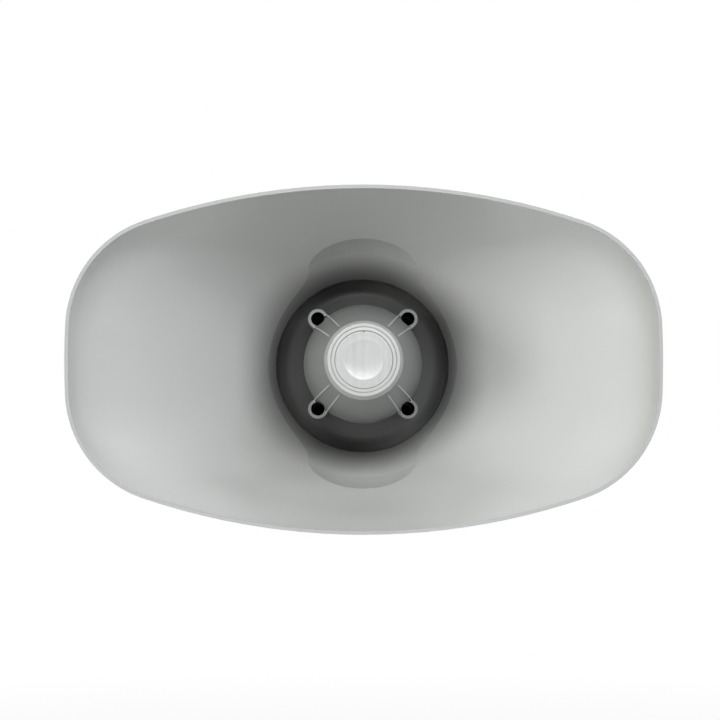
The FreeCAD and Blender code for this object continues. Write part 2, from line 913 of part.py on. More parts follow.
def nose_cap():
    """Cap on the reflector's nose: flat ring with a groove, a recess for the badge and a peg."""
    seat = size("seat_depth")
    front = seat - size("cap_rise")
    recess_floor = front + size("badge_sink") + size("badge_edge")
    inside = recess_floor + size("cap_floor")
    wall = size("cap_wall")
    groove_in = size("groove_radius") - size("groove_width") / 2
    groove_out = size("groove_radius") + size("groove_width") / 2
    recess = size("badge_radius") + size("thread_clearance")
    edge = size("cap_edge")
    outline = [
        (0, recess_floor),
        (recess, recess_floor),
        (recess, front),
        (groove_in, front),
        (groove_in, front + size("groove_depth")),
        (groove_out, front + size("groove_depth")),
        (groove_out, front),
        (size("cap_radius") - edge, front, -QUARTER_BULGE),
        (size("cap_radius"), front + edge),
        (size("seat_radius"), seat),
        (size("seat_radius") - wall, seat),
        (size("cap_radius") - wall, inside),
        (size("peg_radius"), inside),
        (size("peg_radius"), seat + size("socket_length") - 0.5),
        (0, seat + size("socket_length") - 0.5),
    ]
    return turned("cap", outline)


def badge_plate():
    """Bare metal disc with a shallow dish and a small locating notch at its top."""
    front = size("seat_depth") - size("cap_rise") + size("badge_sink")
    rear = front + size("badge_edge")
    dish = cap_bulge(size("dish_radius"), size("dish_depth"))
    outline = [
        (0, rear),
        (0, front + size("dish_depth"), dish),
        (size("dish_radius"), front),
        (size("badge_radius"), front),
        (size("badge_radius"), rear),
    ]
    body = turned("badge", outline)
    sketch = new_sketch(body, "notch_plan", "XZ_Plane", -(front - 1))
    half = size("notch_width") / 2
    rim = size("badge_radius")
    notch = [(-half, rim + 0.2), (0, rim - size("notch_depth")), (half, rim + 0.2)]
    draw_outline(sketch, notch)
    pocket(body, "notch", sketch)
    return body


def throat_horn():
    """First stage of the horn: a flaring tube that blows into the reflector."""
    front = size("throat_front")
    step = PLATE_REAR - size("throat_flange_thick")
    wall = size("throat_wall")
    bow = tangent_bulge(size("throat_exit") - size("throat_bore"), PLATE_REAR - front)
    outline = [
        (size("throat_bore"), PLATE_REAR, -bow),
        (size("throat_exit"), front),
        (size("throat_exit") + wall, front, bow),
        (size("throat_bore") + wall, step),
        (size("throat_flange"), step),
        (size("throat_flange"), PLATE_REAR),
    ]
    return turned("first_horn", outline)


def throat_gasket():
    """Full-face gasket between the bell's back plate and the driver."""
    outline = rectangle(
        size("throat_bore"), PLATE_REAR, size("driver_radius") - 0.5, GASKET_REAR
    )
    body = turned("front_gasket", outline)
    hole = size("small_screw") + size("hole_clearance")
    offset = size("driver_screw_offset")
    diagonal_holes(body, "gasket_holes", PLATE_REAR, size("gasket") + 1, offset, hole)
    return body


def driver_plate():
    """Front plate of the driver, with the throat and the recess for the dome."""
    recess_front = DRIVER_REAR - size("recess_depth")
    outline = [
        (size("throat_bore"), GASKET_REAR),
        (size("driver_radius"), GASKET_REAR),
        (size("driver_radius"), DRIVER_REAR),
        (size("driver_recess"), DRIVER_REAR, DOME_BULGE),
        (size("throat_bore"), recess_front),
    ]
    body = turned("front_plate", outline)
    hole = size("small_screw") + size("hole_clearance")
    offset = size("driver_screw_offset")
    diagonal_holes(body, "plate_holes", GASKET_REAR, size("driver_plate") + 1, offset, hole)
    return body


def diaphragm():
    """Thin domed diaphragm with a half-roll surround and a flat clamping rim."""
    film = size("diaphragm_film")
    dome = size("dome_radius")
    roll_start = dome + film * 2
    roll_end = size("ring_bore") - film
    front = DRIVER_REAR
    rear = FILM_REAR
    crown = cap_bulge(dome, size("dome_rise"))
    outline = [
        (0, front - size("dome_rise"), -crown),
        (dome, front),
        (roll_start, front, -ROLL_BULGE),
        (roll_end, front),
        (size("diaphragm_radius"), front),
        (size("diaphragm_radius"), rear),
        (roll_end, rear, ROLL_BULGE),
        (roll_start, rear),
        (dome, rear, crown),
        (0, rear - size("dome_rise")),
    ]
    return turned("dome", outline)


def diaphragm_ring():
    """Ring that clamps the diaphragm's rim against the front plate."""
    rim = size("diaphragm_radius") + size("thread_clearance")
    outline = [
        (size("ring_bore"), FILM_REAR),
        (rim, FILM_REAR),
        (rim, DRIVER_REAR),
        (size("driver_radius"), DRIVER_REAR),
        (size("driver_radius"), RING_REAR),
        (size("ring_bore"), RING_REAR),
    ]
    body = turned("clamp_ring", outline)
    hole = size("small_screw") + size("hole_clearance")
    offset = size("driver_screw_offset")
    length = size("ring_thick") + size("diaphragm_film") + 1
    diagonal_holes(body, "ring_holes", DRIVER_REAR, length, offset, hole)
    return body


def voice_coil():
    """Coil on its former, fixed to the rear of the dome and hanging in the gap."""
    inside = size("coil_radius")
    outside = inside + size("coil_wire")
    return turned("coil", rectangle(inside, FILM_REAR, outside, FILM_REAR + size("coil_length")))


def top_plate():
    """Iron ring around the coil, which also carries the driver's screws."""
    gap = size("coil_radius") + size("coil_wire") + size("coil_clearance")
    body = turned("gap_plate", rectangle(gap, RING_REAR, size("driver_radius"), TOP_REAR))
    hole = size("small_screw") + size("hole_clearance")
    offset = size("driver_screw_offset")
    diagonal_holes(body, "top_holes", RING_REAR, size("top_plate") + 1, offset, hole)
    return body


def magnet():
    """Ferrite ring magnet."""
    edge = size("cap_edge")
    outer, inner = size("magnet_radius"), size("magnet_bore")
    outline = [
        (inner, TOP_REAR),
        (outer - edge, TOP_REAR),
        (outer, TOP_REAR + edge),
        (outer, MAGNET_REAR - edge),
        (outer - edge, MAGNET_REAR),
        (inner, MAGNET_REAR),
    ]
    return turned("ferrite_ring", outline)


def yoke():
    """Iron back plate with the pole that stands inside the coil."""
    pole = size("coil_radius") - size("coil_clearance")
    tip = RING_REAR + size("diaphragm_film")
    outline = [
        (0, tip),
        (pole, tip),
        (pole, MAGNET_REAR),
        (size("magnet_radius"), MAGNET_REAR),
        (size("magnet_radius") - size("cap_edge"), YOKE_REAR),
        (0, YOKE_REAR),
    ]
    return turned("pole_yoke", outline)


def housing_shell():
    """Turned cup of the rear housing with its front flange."""
    wall = size("housing_wall")
    edge = size("housing_edge")
    outer = size("housing_radius")
    rear_radius = outer - size("housing_draft")
    rear = size("housing_rear")
    outline = [
        (outer - wall, GASKET_REAR),
        (size("flange_radius"), GASKET_REAR),
        (size("flange_radius"), FLANGE_REAR - 1),
        (size("flange_radius") - 1, FLANGE_REAR),
        (outer, FLANGE_REAR),
        (rear_radius, rear - edge, -QUARTER_BULGE),
        (rear_radius - edge, rear),
        (0, rear),
        (0, HOUSING_FLOOR),
        (rear_radius - edge, HOUSING_FLOOR, QUARTER_BULGE),
        (rear_radius - wall, rear - edge),
    ]
    return turned("housing_cup", outline)


def rear_housing():
    """Rear housing: cup, seat for the gland, bosses for the transformer and screw holes."""
    cup = housing_shell()
    gland_boss = cylinder(
        "gland_boss",
        size("gland_boss_radius"),
        size("gland_seat") - size("gland_boss_inside"),
        (0, GLAND_DEPTH, -size("gland_seat")),
        "Z",
    )
    clamp_boss = cylinder(
        "clamp_boss",
        size("clamp_boss_radius"),
        size("clamp_boss") + size("housing_wall") / 2,
        (CLAMP_SCREW_X, CLAMP_SEAT, 0),
    )
    bosses = left_and_right("clamp_boss", clamp_boss)
    whole = fused("housing_solid", [cup, gland_boss, *bosses])
    gland_hole = cylinder(
        "gland_hole",
        size("gland_thread") + size("thread_clearance"),
        size("gland_seat") - size("gland_boss_inside") + 2,
        (0, GLAND_DEPTH, -(size("gland_seat") + 1)),
        "Z",
    )
    clamp_hole = cylinder(
        "clamp_hole",
        size("small_screw") + size("thread_clearance"),
        size("clamp_boss") + 1.5,
        (CLAMP_SCREW_X, CLAMP_SEAT - 1, 0),
    )
    flange_hole = cylinder(
        "housing_flange_hole",
        size("small_screw") + size("hole_clearance"),
        size("flange_thick") + 2,
        (size("flange_screw_offset"), GASKET_REAR - 1, size("flange_screw_offset")),
    )
    holes = [gland_hole, *left_and_right("clamp_hole", clamp_hole)]
    holes += four_quarters("housing_flange_hole", flange_hole)
    return cut("housing", whole, fused("housing_holes", holes))


def housing_gasket():
    """Flat ring gasket under the housing's flange."""
    inner = size("housing_radius") - size("housing_wall")
    body = turned("rear_gasket", rectangle(inner, PLATE_REAR, size("flange_radius"), GASKET_REAR))
    hole = size("small_screw") + size("hole_clearance")
    offset = size("flange_screw_offset")
    diagonal_holes(body, "rear_gasket_holes", PLATE_REAR, size("gasket") + 1, offset, hole)
    return body


def pan_screw(name, place, shank, head, rise, length, rearward=True):
    """Pan-head screw with a cross recess, its head seated at a place on the horn."""
    direction = 1 if rearward else -1
    body = new_body(name)
    sketch = new_sketch(body, f"{name}_outline", "XY_Plane")
    crown = rise * 0.6
    bow = cap_bulge(head, crown) * direction
    outline = [
        (0, length * direction),
        (shank * 0.6, length * direction),
        (shank, (length - shank) * direction),
        (shank, 0),
        (head, 0),
        (head, -(rise - crown) * direction, bow),
        (0, -rise * direction),
    ]
    draw_outline(sketch, outline)
    revolution = body.newObject("PartDesign::Revolution", f"{name}_turned")
    revolution.Profile = sketch
    revolution.ReferenceAxis = (sketch, ["V_Axis"])
    revolution.Angle = 360
    recess = new_sketch(body, f"{name}_cross", "XZ_Plane", rise * direction)
    arm, half = head * 0.55, head * 0.12
    corners = [(half, half), (half, arm), (-half, arm), (-half, half), (-arm, half), (-arm, -half)]
    corners += [(-x, -z) for x, z in corners]
    draw_outline(recess, corners)
    pocket(body, f"{name}_recess", recess, rise * 0.55, reverse=not rearward)
    for letter, where in zip("xyz", place):
        bind(body, f"Placement.Base.{letter}", where)
    return body


def small_screw(name, place, length, rearward=True):
    """Small self-tapping screw."""
    return pan_screw(
        name,
        place,
        size("small_screw"),
        size("small_head"),
        size("small_head_rise"),
        length,
        rearward,
    )


def reflector_screws():
    """Four long-shank screws at the bottoms of the wells."""
    offset = size("lug_offset")
    seat = size("chamber_floor") - size("well_floor")
    length = size("well_floor") + size("back_plate") + size("driver_plate") - 2
    screw = pan_screw(
        "reflector_screw",
        (offset, seat, offset),
        size("long_screw"),
        size("long_head"),
        size("long_head_rise"),
        length,
    )
    return gathered("reflector_screw_set", four_quarters("reflector_screw", screw))


def driver_screws():
    """Four screws that clamp the driver to the back plate."""
    offset = size("driver_screw_offset")
    length = TOP_REAR - size("chamber_floor") + size("hub_rise")
    screw = small_screw("driver_screw", (offset, TOP_REAR, offset), length, False)
    return gathered("driver_screw_set", four_quarters("driver_screw", screw))


def housing_screws():
    """Four screws through the housing's flange."""
    offset = size("flange_screw_offset")
    length = FLANGE_REAR - PLATE_REAR + size("chamber_corner") / 2 - 0.5
    screw = small_screw("housing_screw", (offset, FLANGE_REAR, offset), length, False)
    return gathered("housing_screw_set", four_quarters("housing_screw", screw))


def transformer_core():
    """Laminated core with its two windows."""
    body = new_body("core")
    half = size("core_width") / 2
    leg = size("core_leg")
    front = HOUSING_FLOOR - size("core_length")
    plan = new_sketch(body, "core_plan", "XY_Plane")
    draw_outline(plan, rectangle(-half, front, half, HOUSING_FLOOR))
    pad(body, "core_stack_pad", plan, size("core_stack"), midplane=True)
    windows = new_sketch(body, "core_windows", "XY_Plane")
    for inner, outer in ((leg, half - leg), (leg - half, -leg)):
        draw_outline(windows, rectangle(inner, front + leg, outer, HOUSING_FLOOR - leg))
    pocket(body, "core_window_cut", windows, midplane=True)
    return body


def transformer_winding():
    """Winding on its bobbin around the middle leg of the core."""
    body = new_body("winding")
    play = size("winding_play")
    leg = size("core_leg")
    half = size("core_width") / 2 - leg - play
    stack = size("core_stack") / 2
    front = HOUSING_FLOOR - size("core_length") + leg + play
    length = size("core_length") - (leg + play) * 2
    high = stack + size("winding_overhang")
    outer = new_sketch(body, "winding_outer", "XZ_Plane", -front)
    bow = size("winding_overhang") / 2
    outline = [
        (half, -(high - bow)),
        (half, high - bow, -QUARTER_BULGE),
        (half - bow, high),
        (bow - half, high, -QUARTER_BULGE),
        (-half, high - bow),
        (-half, bow - high, -QUARTER_BULGE),
        (bow - half, -high),
        (half - bow, -high, -QUARTER_BULGE),
    ]
    draw_outline(outer, outline)
    pad(body, "winding_pad", outer, length, reverse=True)
    inner = new_sketch(body, "winding_inner", "XZ_Plane", -front)
    draw_outline(inner, rectangle(-(leg + play), -(stack + play), leg + play, stack + play))
    pocket(body, "winding_bore", inner)
    return body


def transformer_clamp():
    """Sheet strap over the core, with two feet screwed to the housing's bosses."""
    body = new_body("clamp")
    strap = size("clamp_strap")
    half = size("core_width") / 2
    front = HOUSING_FLOOR - size("core_length")
    foot = half + strap + size("clamp_foot")
    sketch = new_sketch(body, "clamp_profile", "XY_Plane")
    outline = [
        (-foot, CLAMP_SEAT - strap),
        (-(half + strap), CLAMP_SEAT - strap),
        (-(half + strap), front - strap),
        (half + strap, front - strap),
        (half + strap, CLAMP_SEAT - strap),
        (foot, CLAMP_SEAT - strap),
        (foot, CLAMP_SEAT),
        (half, CLAMP_SEAT),
        (half, front),
        (-half, front),
        (-half, CLAMP_SEAT),
        (-foot, CLAMP_SEAT),
    ]
    draw_outline(sketch, outline)
    pad(body, "clamp_pad", sketch, size("clamp_width"), midplane=True)
    holes = new_sketch(body, "clamp_holes", "XZ_Plane", -(CLAMP_SEAT - strap - 1))
    radius = size("small_screw") + size("hole_clearance")
    for across in (-CLAMP_SCREW_X, CLAMP_SCREW_X):
        draw_circle(holes, across, 0, radius)
    pocket(body, "clamp_drilled", holes, strap + 2)
    return body


def transformer_screws():
    """Two screws through the clamp's feet."""
    place = (CLAMP_SCREW_X, CLAMP_SEAT - size("clamp_strap"), 0)
    length = size("clamp_boss") + size("clamp_strap") - 0.5
    screw = small_screw("transformer_screw", place, length)
    return gathered("transformer_screw_set", left_and_right("transformer_screw", screw))


def gland_body():
    """Threaded body of the cable gland, with its hexagon collar outside the housing."""
    seat = -size("gland_seat")
    collar_end = seat - size("gland_collar")
    neck_end = collar_end - size("gland_neck")
    inner_end = -(size("gland_boss_inside") - size("locknut") - 1)
    bore = size("gland_bore")
    seal = size("seal_radius") + size("thread_clearance")
    outline = [
        (bore, inner_end),
        (size("gland_thread"), inner_end),
        (size("gland_thread"), neck_end),
        (seal, neck_end),
        (seal, neck_end + size("seal_length")),
        (bore, neck_end + size("seal_length")),
    ]
    tube = turned("gland_tube", outline[::-1], axis="Z")
    bind(tube, "Placement.Base.y", GLAND_DEPTH)
    collar = hexagon(
        "gland_collar_hex",
        size("gland_hex"),
        size("gland_collar"),
        (0, GLAND_DEPTH, collar_end),
        "Z",
    )
    middle = cylinder(
        "gland_collar_bore",
        size("gland_thread") - 0.5,
        size("gland_collar") + 2,
        (0, GLAND_DEPTH, collar_end - 1),
        "Z",
    )
    return fused("gland_moulding", [tube, cut("gland_collar_ring", collar, middle)])


def gland_seal():
    """Rubber sleeve that grips the cable."""
    neck_end = -(size("gland_seat") + size("gland_collar") + size("gland_neck"))
    outline = rectangle(
        size("cable_hole"), neck_end - 1, size("seal_radius"), neck_end + size("seal_length")
    )
    return turned("seal", outline, axis="Z")


def gland_nut():
    """Domed nut that squeezes the seal."""
    collar_end = -(size("gland_seat") + size("gland_collar"))
    start = collar_end - 0.8
    neck_end = collar_end - size("gland_neck")
    tip = start - size("nut_length")
    thread = size("gland_thread") + size("thread_clearance")
    hole = size("cable_hole") + 1
    outline = [
        (thread, start),
        (thread, neck_end - 1.2),
        (hole, neck_end - 1.2),
        (hole, tip),
        (size("nut_radius") * 0.65, tip, -QUARTER_BULGE),
        (size("nut_radius"), tip + size("nut_radius") * 0.5),
        (size("nut_radius"), start),
    ]
    return turned("dome_nut", outline, axis="Z")


def gland_locknut():
    """Hexagon nut inside the housing that holds the gland."""
    start = -size("gland_boss_inside")
    place = (0, GLAND_DEPTH, start)
    blank = hexagon("locknut_hex", size("gland_hex"), size("locknut"), place, "Z")
    bore = cylinder(
        "locknut_bore",
        size("gland_thread") + size("thread_clearance"),
        size("locknut") + 2,
        (0, GLAND_DEPTH, start - 1),
        "Z",
    )
    return cut("locknut_piece", blank, bore)


def hinge_piece(name, outline):
    """Piece turned about the hinge axis, on the right, with its mirror image on the left."""
    body = turned(name, outline, axis="X")
    bind(body, "Placement.Base.y", size("hinge_depth"))
    return gathered(f"{name}_pair", left_and_right(name, body))


def hinge_inserts():
    """Threaded brass inserts in the bell's bosses."""
    bore = size("bolt_radius") + size("thread_clearance")
    start = BOSS_FACE - size("insert_length")
    return hinge_piece("insert", rectangle(bore, start, size("insert_radius"), BOSS_FACE))


def friction_washers():
    """Fibre washers between the bosses and the bracket's arms."""
    bore = size("bolt_radius") + size("hole_clearance")
    face = size("arm_gap") / 2
    return hinge_piece("fibre", rectangle(bore, BOSS_FACE, size("friction_radius"), face))


def flat_washers():
    """Flat washers outside the bracket's arms."""
    bore = size("bolt_radius") + size("hole_clearance")
    end = ARM_OUTSIDE + size("washer_thick")
    return hinge_piece("washer", rectangle(bore, ARM_OUTSIDE, size("washer_radius"), end))


def spring_washers():
    """Split spring washers under the bolt heads."""
    start = ARM_OUTSIDE + size("washer_thick")
    end = start + size("spring_washer")
    bore = size("bolt_radius") + size("hole_clearance")
    body = turned("spring", rectangle(bore, start, size("spring_washer_radius"), end), axis="X")
    sketch = new_sketch(body, "spring_gap", "YZ_Plane", start - 1)
    half = size("spring_washer") / 4
    gap = rectangle(-half, bore - 1, half, size("spring_washer_radius") + 1)
    draw_outline(sketch, gap)
    pocket(body, "spring_split", sketch, size("spring_washer") + 2, reverse=True)
    bind(body, "Placement.Base.y", size("hinge_depth"))
    return gathered("spring_pair", left_and_right("spring", body))


def hinge_bolts():
    """Hexagon bolts on which the horn tilts."""
    head_start = ARM_OUTSIDE + size("washer_thick") + size("spring_washer")
    tip = head_start - size("bolt_shank")
    radius = size("bolt_radius")
    outline = [
        (0, tip),
        (radius - 0.8, tip),
        (radius, tip + 0.8),
        (radius, head_start + 0.5),
        (0, head_start + 0.5),
    ]
    shank = turned("bolt_shank_form", outline, axis="X")
    bind(shank, "Placement.Base.y", size("hinge_depth"))
    place = (head_start, size("hinge_depth"), 0)
    blank = hexagon("bolt_hex_form", size("bolt_hex"), size("bolt_head"), place, "X")
    bevel = size("bolt_hex") * 0.12
    turned_head = turned(
        "bolt_head_form",
        [
            (0, head_start),
            (size("bolt_hex"), head_start),
            (size("bolt_hex"), head_start + size("bolt_head") - bevel / 2),
            (size("bolt_hex") - bevel, head_start + size("bolt_head")),
            (0, head_start + size("bolt_head")),
        ],
        axis="X",
    )
    bind(turned_head, "Placement.Base.y", size("hinge_depth"))
    head = DOCUMENT.addObject("Part::Common", "bolt_head_trimmed")
    head.Base = blank
    head.Tool = turned_head
    bolt = fused("bolt", [shank, head])
    return gathered("bolt_pair", left_and_right("bolt", bolt))


def u_bracket():
    """Bent steel strap: foot with two bolt holes and two arms with round ends."""
    body = new_body("bracket_strap_body")
    strap = size("bracket_strap")
    bend = size("bracket_bend")
    inner = size("arm_gap") / 2
    outer = ARM_OUTSIDE
    end = -(size("hinge_reach") + size("arm_tail"))
    inner_bend = bend - strap
    plan = new_sketch(body, "strap_plan", "XY_Plane")
    outline = [
        (outer, end),
        (outer, -bend, QUARTER_BULGE * -1),
        (outer - bend, 0),
        (bend - outer, 0, QUARTER_BULGE * -1),
        (-outer, -bend),
        (-outer, end),
        (-inner, end),
        (-inner, -(inner_bend + strap), QUARTER_BULGE),
        (inner_bend - inner, -strap),
        (inner - inner_bend, -strap, QUARTER_BULGE),
        (inner, -(inner_bend + strap)),
        (inner, end),
    ]
    draw_outline(plan, outline)
    pad(body, "strap_pad", plan, size("bracket_width"), midplane=True)
    foot_holes = new_sketch(body, "foot_holes", "XZ_Plane")
    for across in (-(size("foot_hole_spacing") / 2), size("foot_hole_spacing") / 2):
        draw_circle(foot_holes, across, 0, size("foot_hole_radius"))
    pocket(body, "foot_drilled", foot_holes, strap * 4, midplane=True)
    arm_holes = new_sketch(body, "arm_holes", "YZ_Plane")
    hinge = size("bolt_radius") + size("running_clearance")
    draw_circle(arm_holes, -size("hinge_reach"), 0, hinge)
    pocket(body, "arm_drilled", arm_holes, midplane=True)
    half = size("bracket_width") / 2
    ends = new_sketch(body, "arm_end_plan", "YZ_Plane")
    rounding = [
        (end - 1, -(half + 1)),
        (end + half, -(half + 1)),
        (end + half, -half, QUARTER_BULGE),
        (end, 0, QUARTER_BULGE),
        (end + half, half),
        (end + half, half + 1),
        (end - 1, half + 1),
    ]
    draw_outline(ends, rounding)
    pocket(body, "arm_ends_rounded", ends, midplane=True)
    return body


def place_on_horn(label, item):
    """Set a piece that is drawn in horn coordinates forward from the wall."""
    bind(item, "Placement.Base.y", SET_BACK.get(label, as_size(0)) - MOUTH_REACH)
    return item


HORN_PIECES = {
    "horn_bell": horn_bell,
    "reflector": reflector,
    "nose_cap": nose_cap,
    "badge_plate": badge_plate,
    "reflector_screws": reflector_screws,
    "throat_horn": throat_horn,
    "throat_gasket": throat_gasket,
    "driver_plate": driver_plate,
    "diaphragm": diaphragm,
    "diaphragm_ring": diaphragm_ring,
    "voice_coil": voice_coil,
    "top_plate": top_plate,
    "magnet": magnet,
    "yoke": yoke,
    "driver_screws": driver_screws,
    "housing_gasket": housing_gasket,
    "rear_housing": rear_housing,
    "housing_screws": housing_screws,
    "transformer_core": transformer_core,
    "transformer_winding": transformer_winding,
    "transformer_clamp": transformer_clamp,
    "transformer_screws": transformer_screws,
    "gland_body": gland_body,
    "gland_seal": gland_seal,
    "gland_nut": gland_nut,
    "gland_locknut": gland_locknut,
    "hinge_inserts": hinge_inserts,
    "friction_washers": friction_washers,
    "flat_washers": flat_washers,
    "spring_washers": spring_washers,
    "hinge_bolts": hinge_bolts,
}


# Pieces drawn about an upright axis of their own, with the depth of that axis.
SET_BACK = {"gland_seal": GLAND_DEPTH, "gland_nut": GLAND_DEPTH}


def build_nodes():
    """Make every sub-part and label it with its node's name."""
    nodes = {}
    for label, make in HORN_PIECES.items():
        nodes[label] = place_on_horn(label, make())
    nodes["u_bracket"] = u_bracket()
    for label, item in nodes.items():
        item.Label = label
    DOCUMENT.recompute()
    return nodes


def check_document(nodes):
    """Stop if any object failed or any sub-part has no valid shape."""
    for item in DOCUMENT.Objects:
        if {"Invalid", "Error"} & set(item.State):
            raise RuntimeError(f"{item.Name} could not be computed: {item.State}")
    for label, item in nodes.items():
        if item.Shape.isNull() or not item.Shape.isValid() or not item.Shape.Solids:
            raise RuntimeError(f"{label} has no valid solid")


def write_parts(nodes):
    """Write one file for each sub-part."""
    os.makedirs("parts", exist_ok=True)
    for label, item in nodes.items():
        item.Shape.exportStep(f"parts/{label}.step")
        box = item.Shape.optimalBoundingBox()
        print(
            f"{label:22s} solids {len(item.Shape.Solids)}  volume {item.Shape.Volume:11.1f}"
            f"  x {box.XMin:7.1f} {box.XMax:7.1f}  y {box.YMin:7.1f} {box.YMax:7.1f}"
            f"  z {box.ZMin:7.1f} {box.ZMax:7.1f}"
        )


NODES = build_nodes()
check_document(NODES)
write_parts(NODES)
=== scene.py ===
"""Studio scene of a wide-mouth public-address horn, dressed around its packed construction.

The horn's pieces come in as fixed solids. Each sub-assembly below builds the small pieces that
need a finer form than the solids have, and gives every visible surface its own finish.
Lengths are in metres; +X is to the right as the mouth is seen, -Y is out of the mouth, +Z is up.
"""

from __future__ import annotations

import json
import logging
import math
from collections.abc import Callable, Iterable
from dataclasses import dataclass, field, replace
from enum import Enum

import bmesh
import bpy
from mathutils import Matrix, Vector

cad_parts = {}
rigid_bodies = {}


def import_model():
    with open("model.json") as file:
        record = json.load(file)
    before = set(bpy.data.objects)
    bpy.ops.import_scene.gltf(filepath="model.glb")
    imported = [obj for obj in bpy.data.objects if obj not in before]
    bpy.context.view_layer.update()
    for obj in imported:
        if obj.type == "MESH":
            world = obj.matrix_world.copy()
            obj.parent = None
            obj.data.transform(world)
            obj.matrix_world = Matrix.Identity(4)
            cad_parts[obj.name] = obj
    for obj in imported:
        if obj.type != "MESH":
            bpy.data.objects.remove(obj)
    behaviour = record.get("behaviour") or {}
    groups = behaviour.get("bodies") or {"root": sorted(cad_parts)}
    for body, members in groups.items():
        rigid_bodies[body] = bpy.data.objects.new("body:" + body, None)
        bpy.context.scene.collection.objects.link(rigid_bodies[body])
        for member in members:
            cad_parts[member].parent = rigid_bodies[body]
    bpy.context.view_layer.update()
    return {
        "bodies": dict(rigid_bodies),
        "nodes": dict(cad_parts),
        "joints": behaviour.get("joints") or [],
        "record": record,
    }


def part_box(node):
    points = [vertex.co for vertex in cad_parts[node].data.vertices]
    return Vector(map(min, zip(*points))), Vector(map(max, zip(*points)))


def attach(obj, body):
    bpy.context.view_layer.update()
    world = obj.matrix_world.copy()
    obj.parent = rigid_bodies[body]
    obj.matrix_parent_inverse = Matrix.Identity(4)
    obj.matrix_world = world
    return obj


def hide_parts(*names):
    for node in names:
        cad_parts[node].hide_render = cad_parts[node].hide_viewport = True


LOG = logging.getLogger("horn_scene")
MILLIMETRE = 0.001
FULL_TURN = 360.0
SMOOTH_ANGLE = 32.0
# Points closer than this, in metres, are one point.
MERGE_REACH = 1e-7
# A radius up to this, in millimetres, counts as none.
ON_AXIS = 1e-6
# Rise of a quarter circle over its chord, as a share of the chord, and a slightly flatter one.
QUARTER_BOW = 0.2071
SOFT_BOW = 0.2
WHITE = (1.0, 1.0, 1.0, 1.0)
Colour = tuple[float, float, float]
Socket = bpy.types.NodeSocket
Point = tuple[float, float]
Shaping = Callable[[float, float, float], float]


class Body(Enum):
    """The two bodies that the tilt hinge joins."""

    HORN = "horn"
    BRACKET = "bracket"


class Slot(Enum):
    """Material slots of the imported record."""

    HORN_PLASTIC = "horn_plastic"
    CAP_PLASTIC = "cap_plastic"
    BADGE_METAL = "badge_metal"
    BLACK_SCREW = "black_screw"
    PLATED_SCREW = "plated_screw"
    GASKET_RUBBER = "gasket_rubber"
    INNER_PLASTIC = "inner_plastic"
    CAST_ALLOY = "cast_alloy"
    FILM = "film"
    COPPER_WIRE = "copper_wire"
    PLATED_IRON = "plated_iron"
    FERRITE = "ferrite"
    LAMINATIONS = "laminations"
    GLAND_PLASTIC = "gland_plastic"
    BRASS_INSERT = "brass_insert"
    FIBRE = "fibre"
    BRACKET_PAINT = "bracket_paint"


class Effect(Enum):
    """Shared effects, by the name of their node group."""

    HAZE = "haze"
    GRAIN = "grain"
    BRUSHING = "brushing"
    REFLECTOR_LIGHT_AND_SHADE = "rims"
    THROAT_SHADE = "throat_depth"


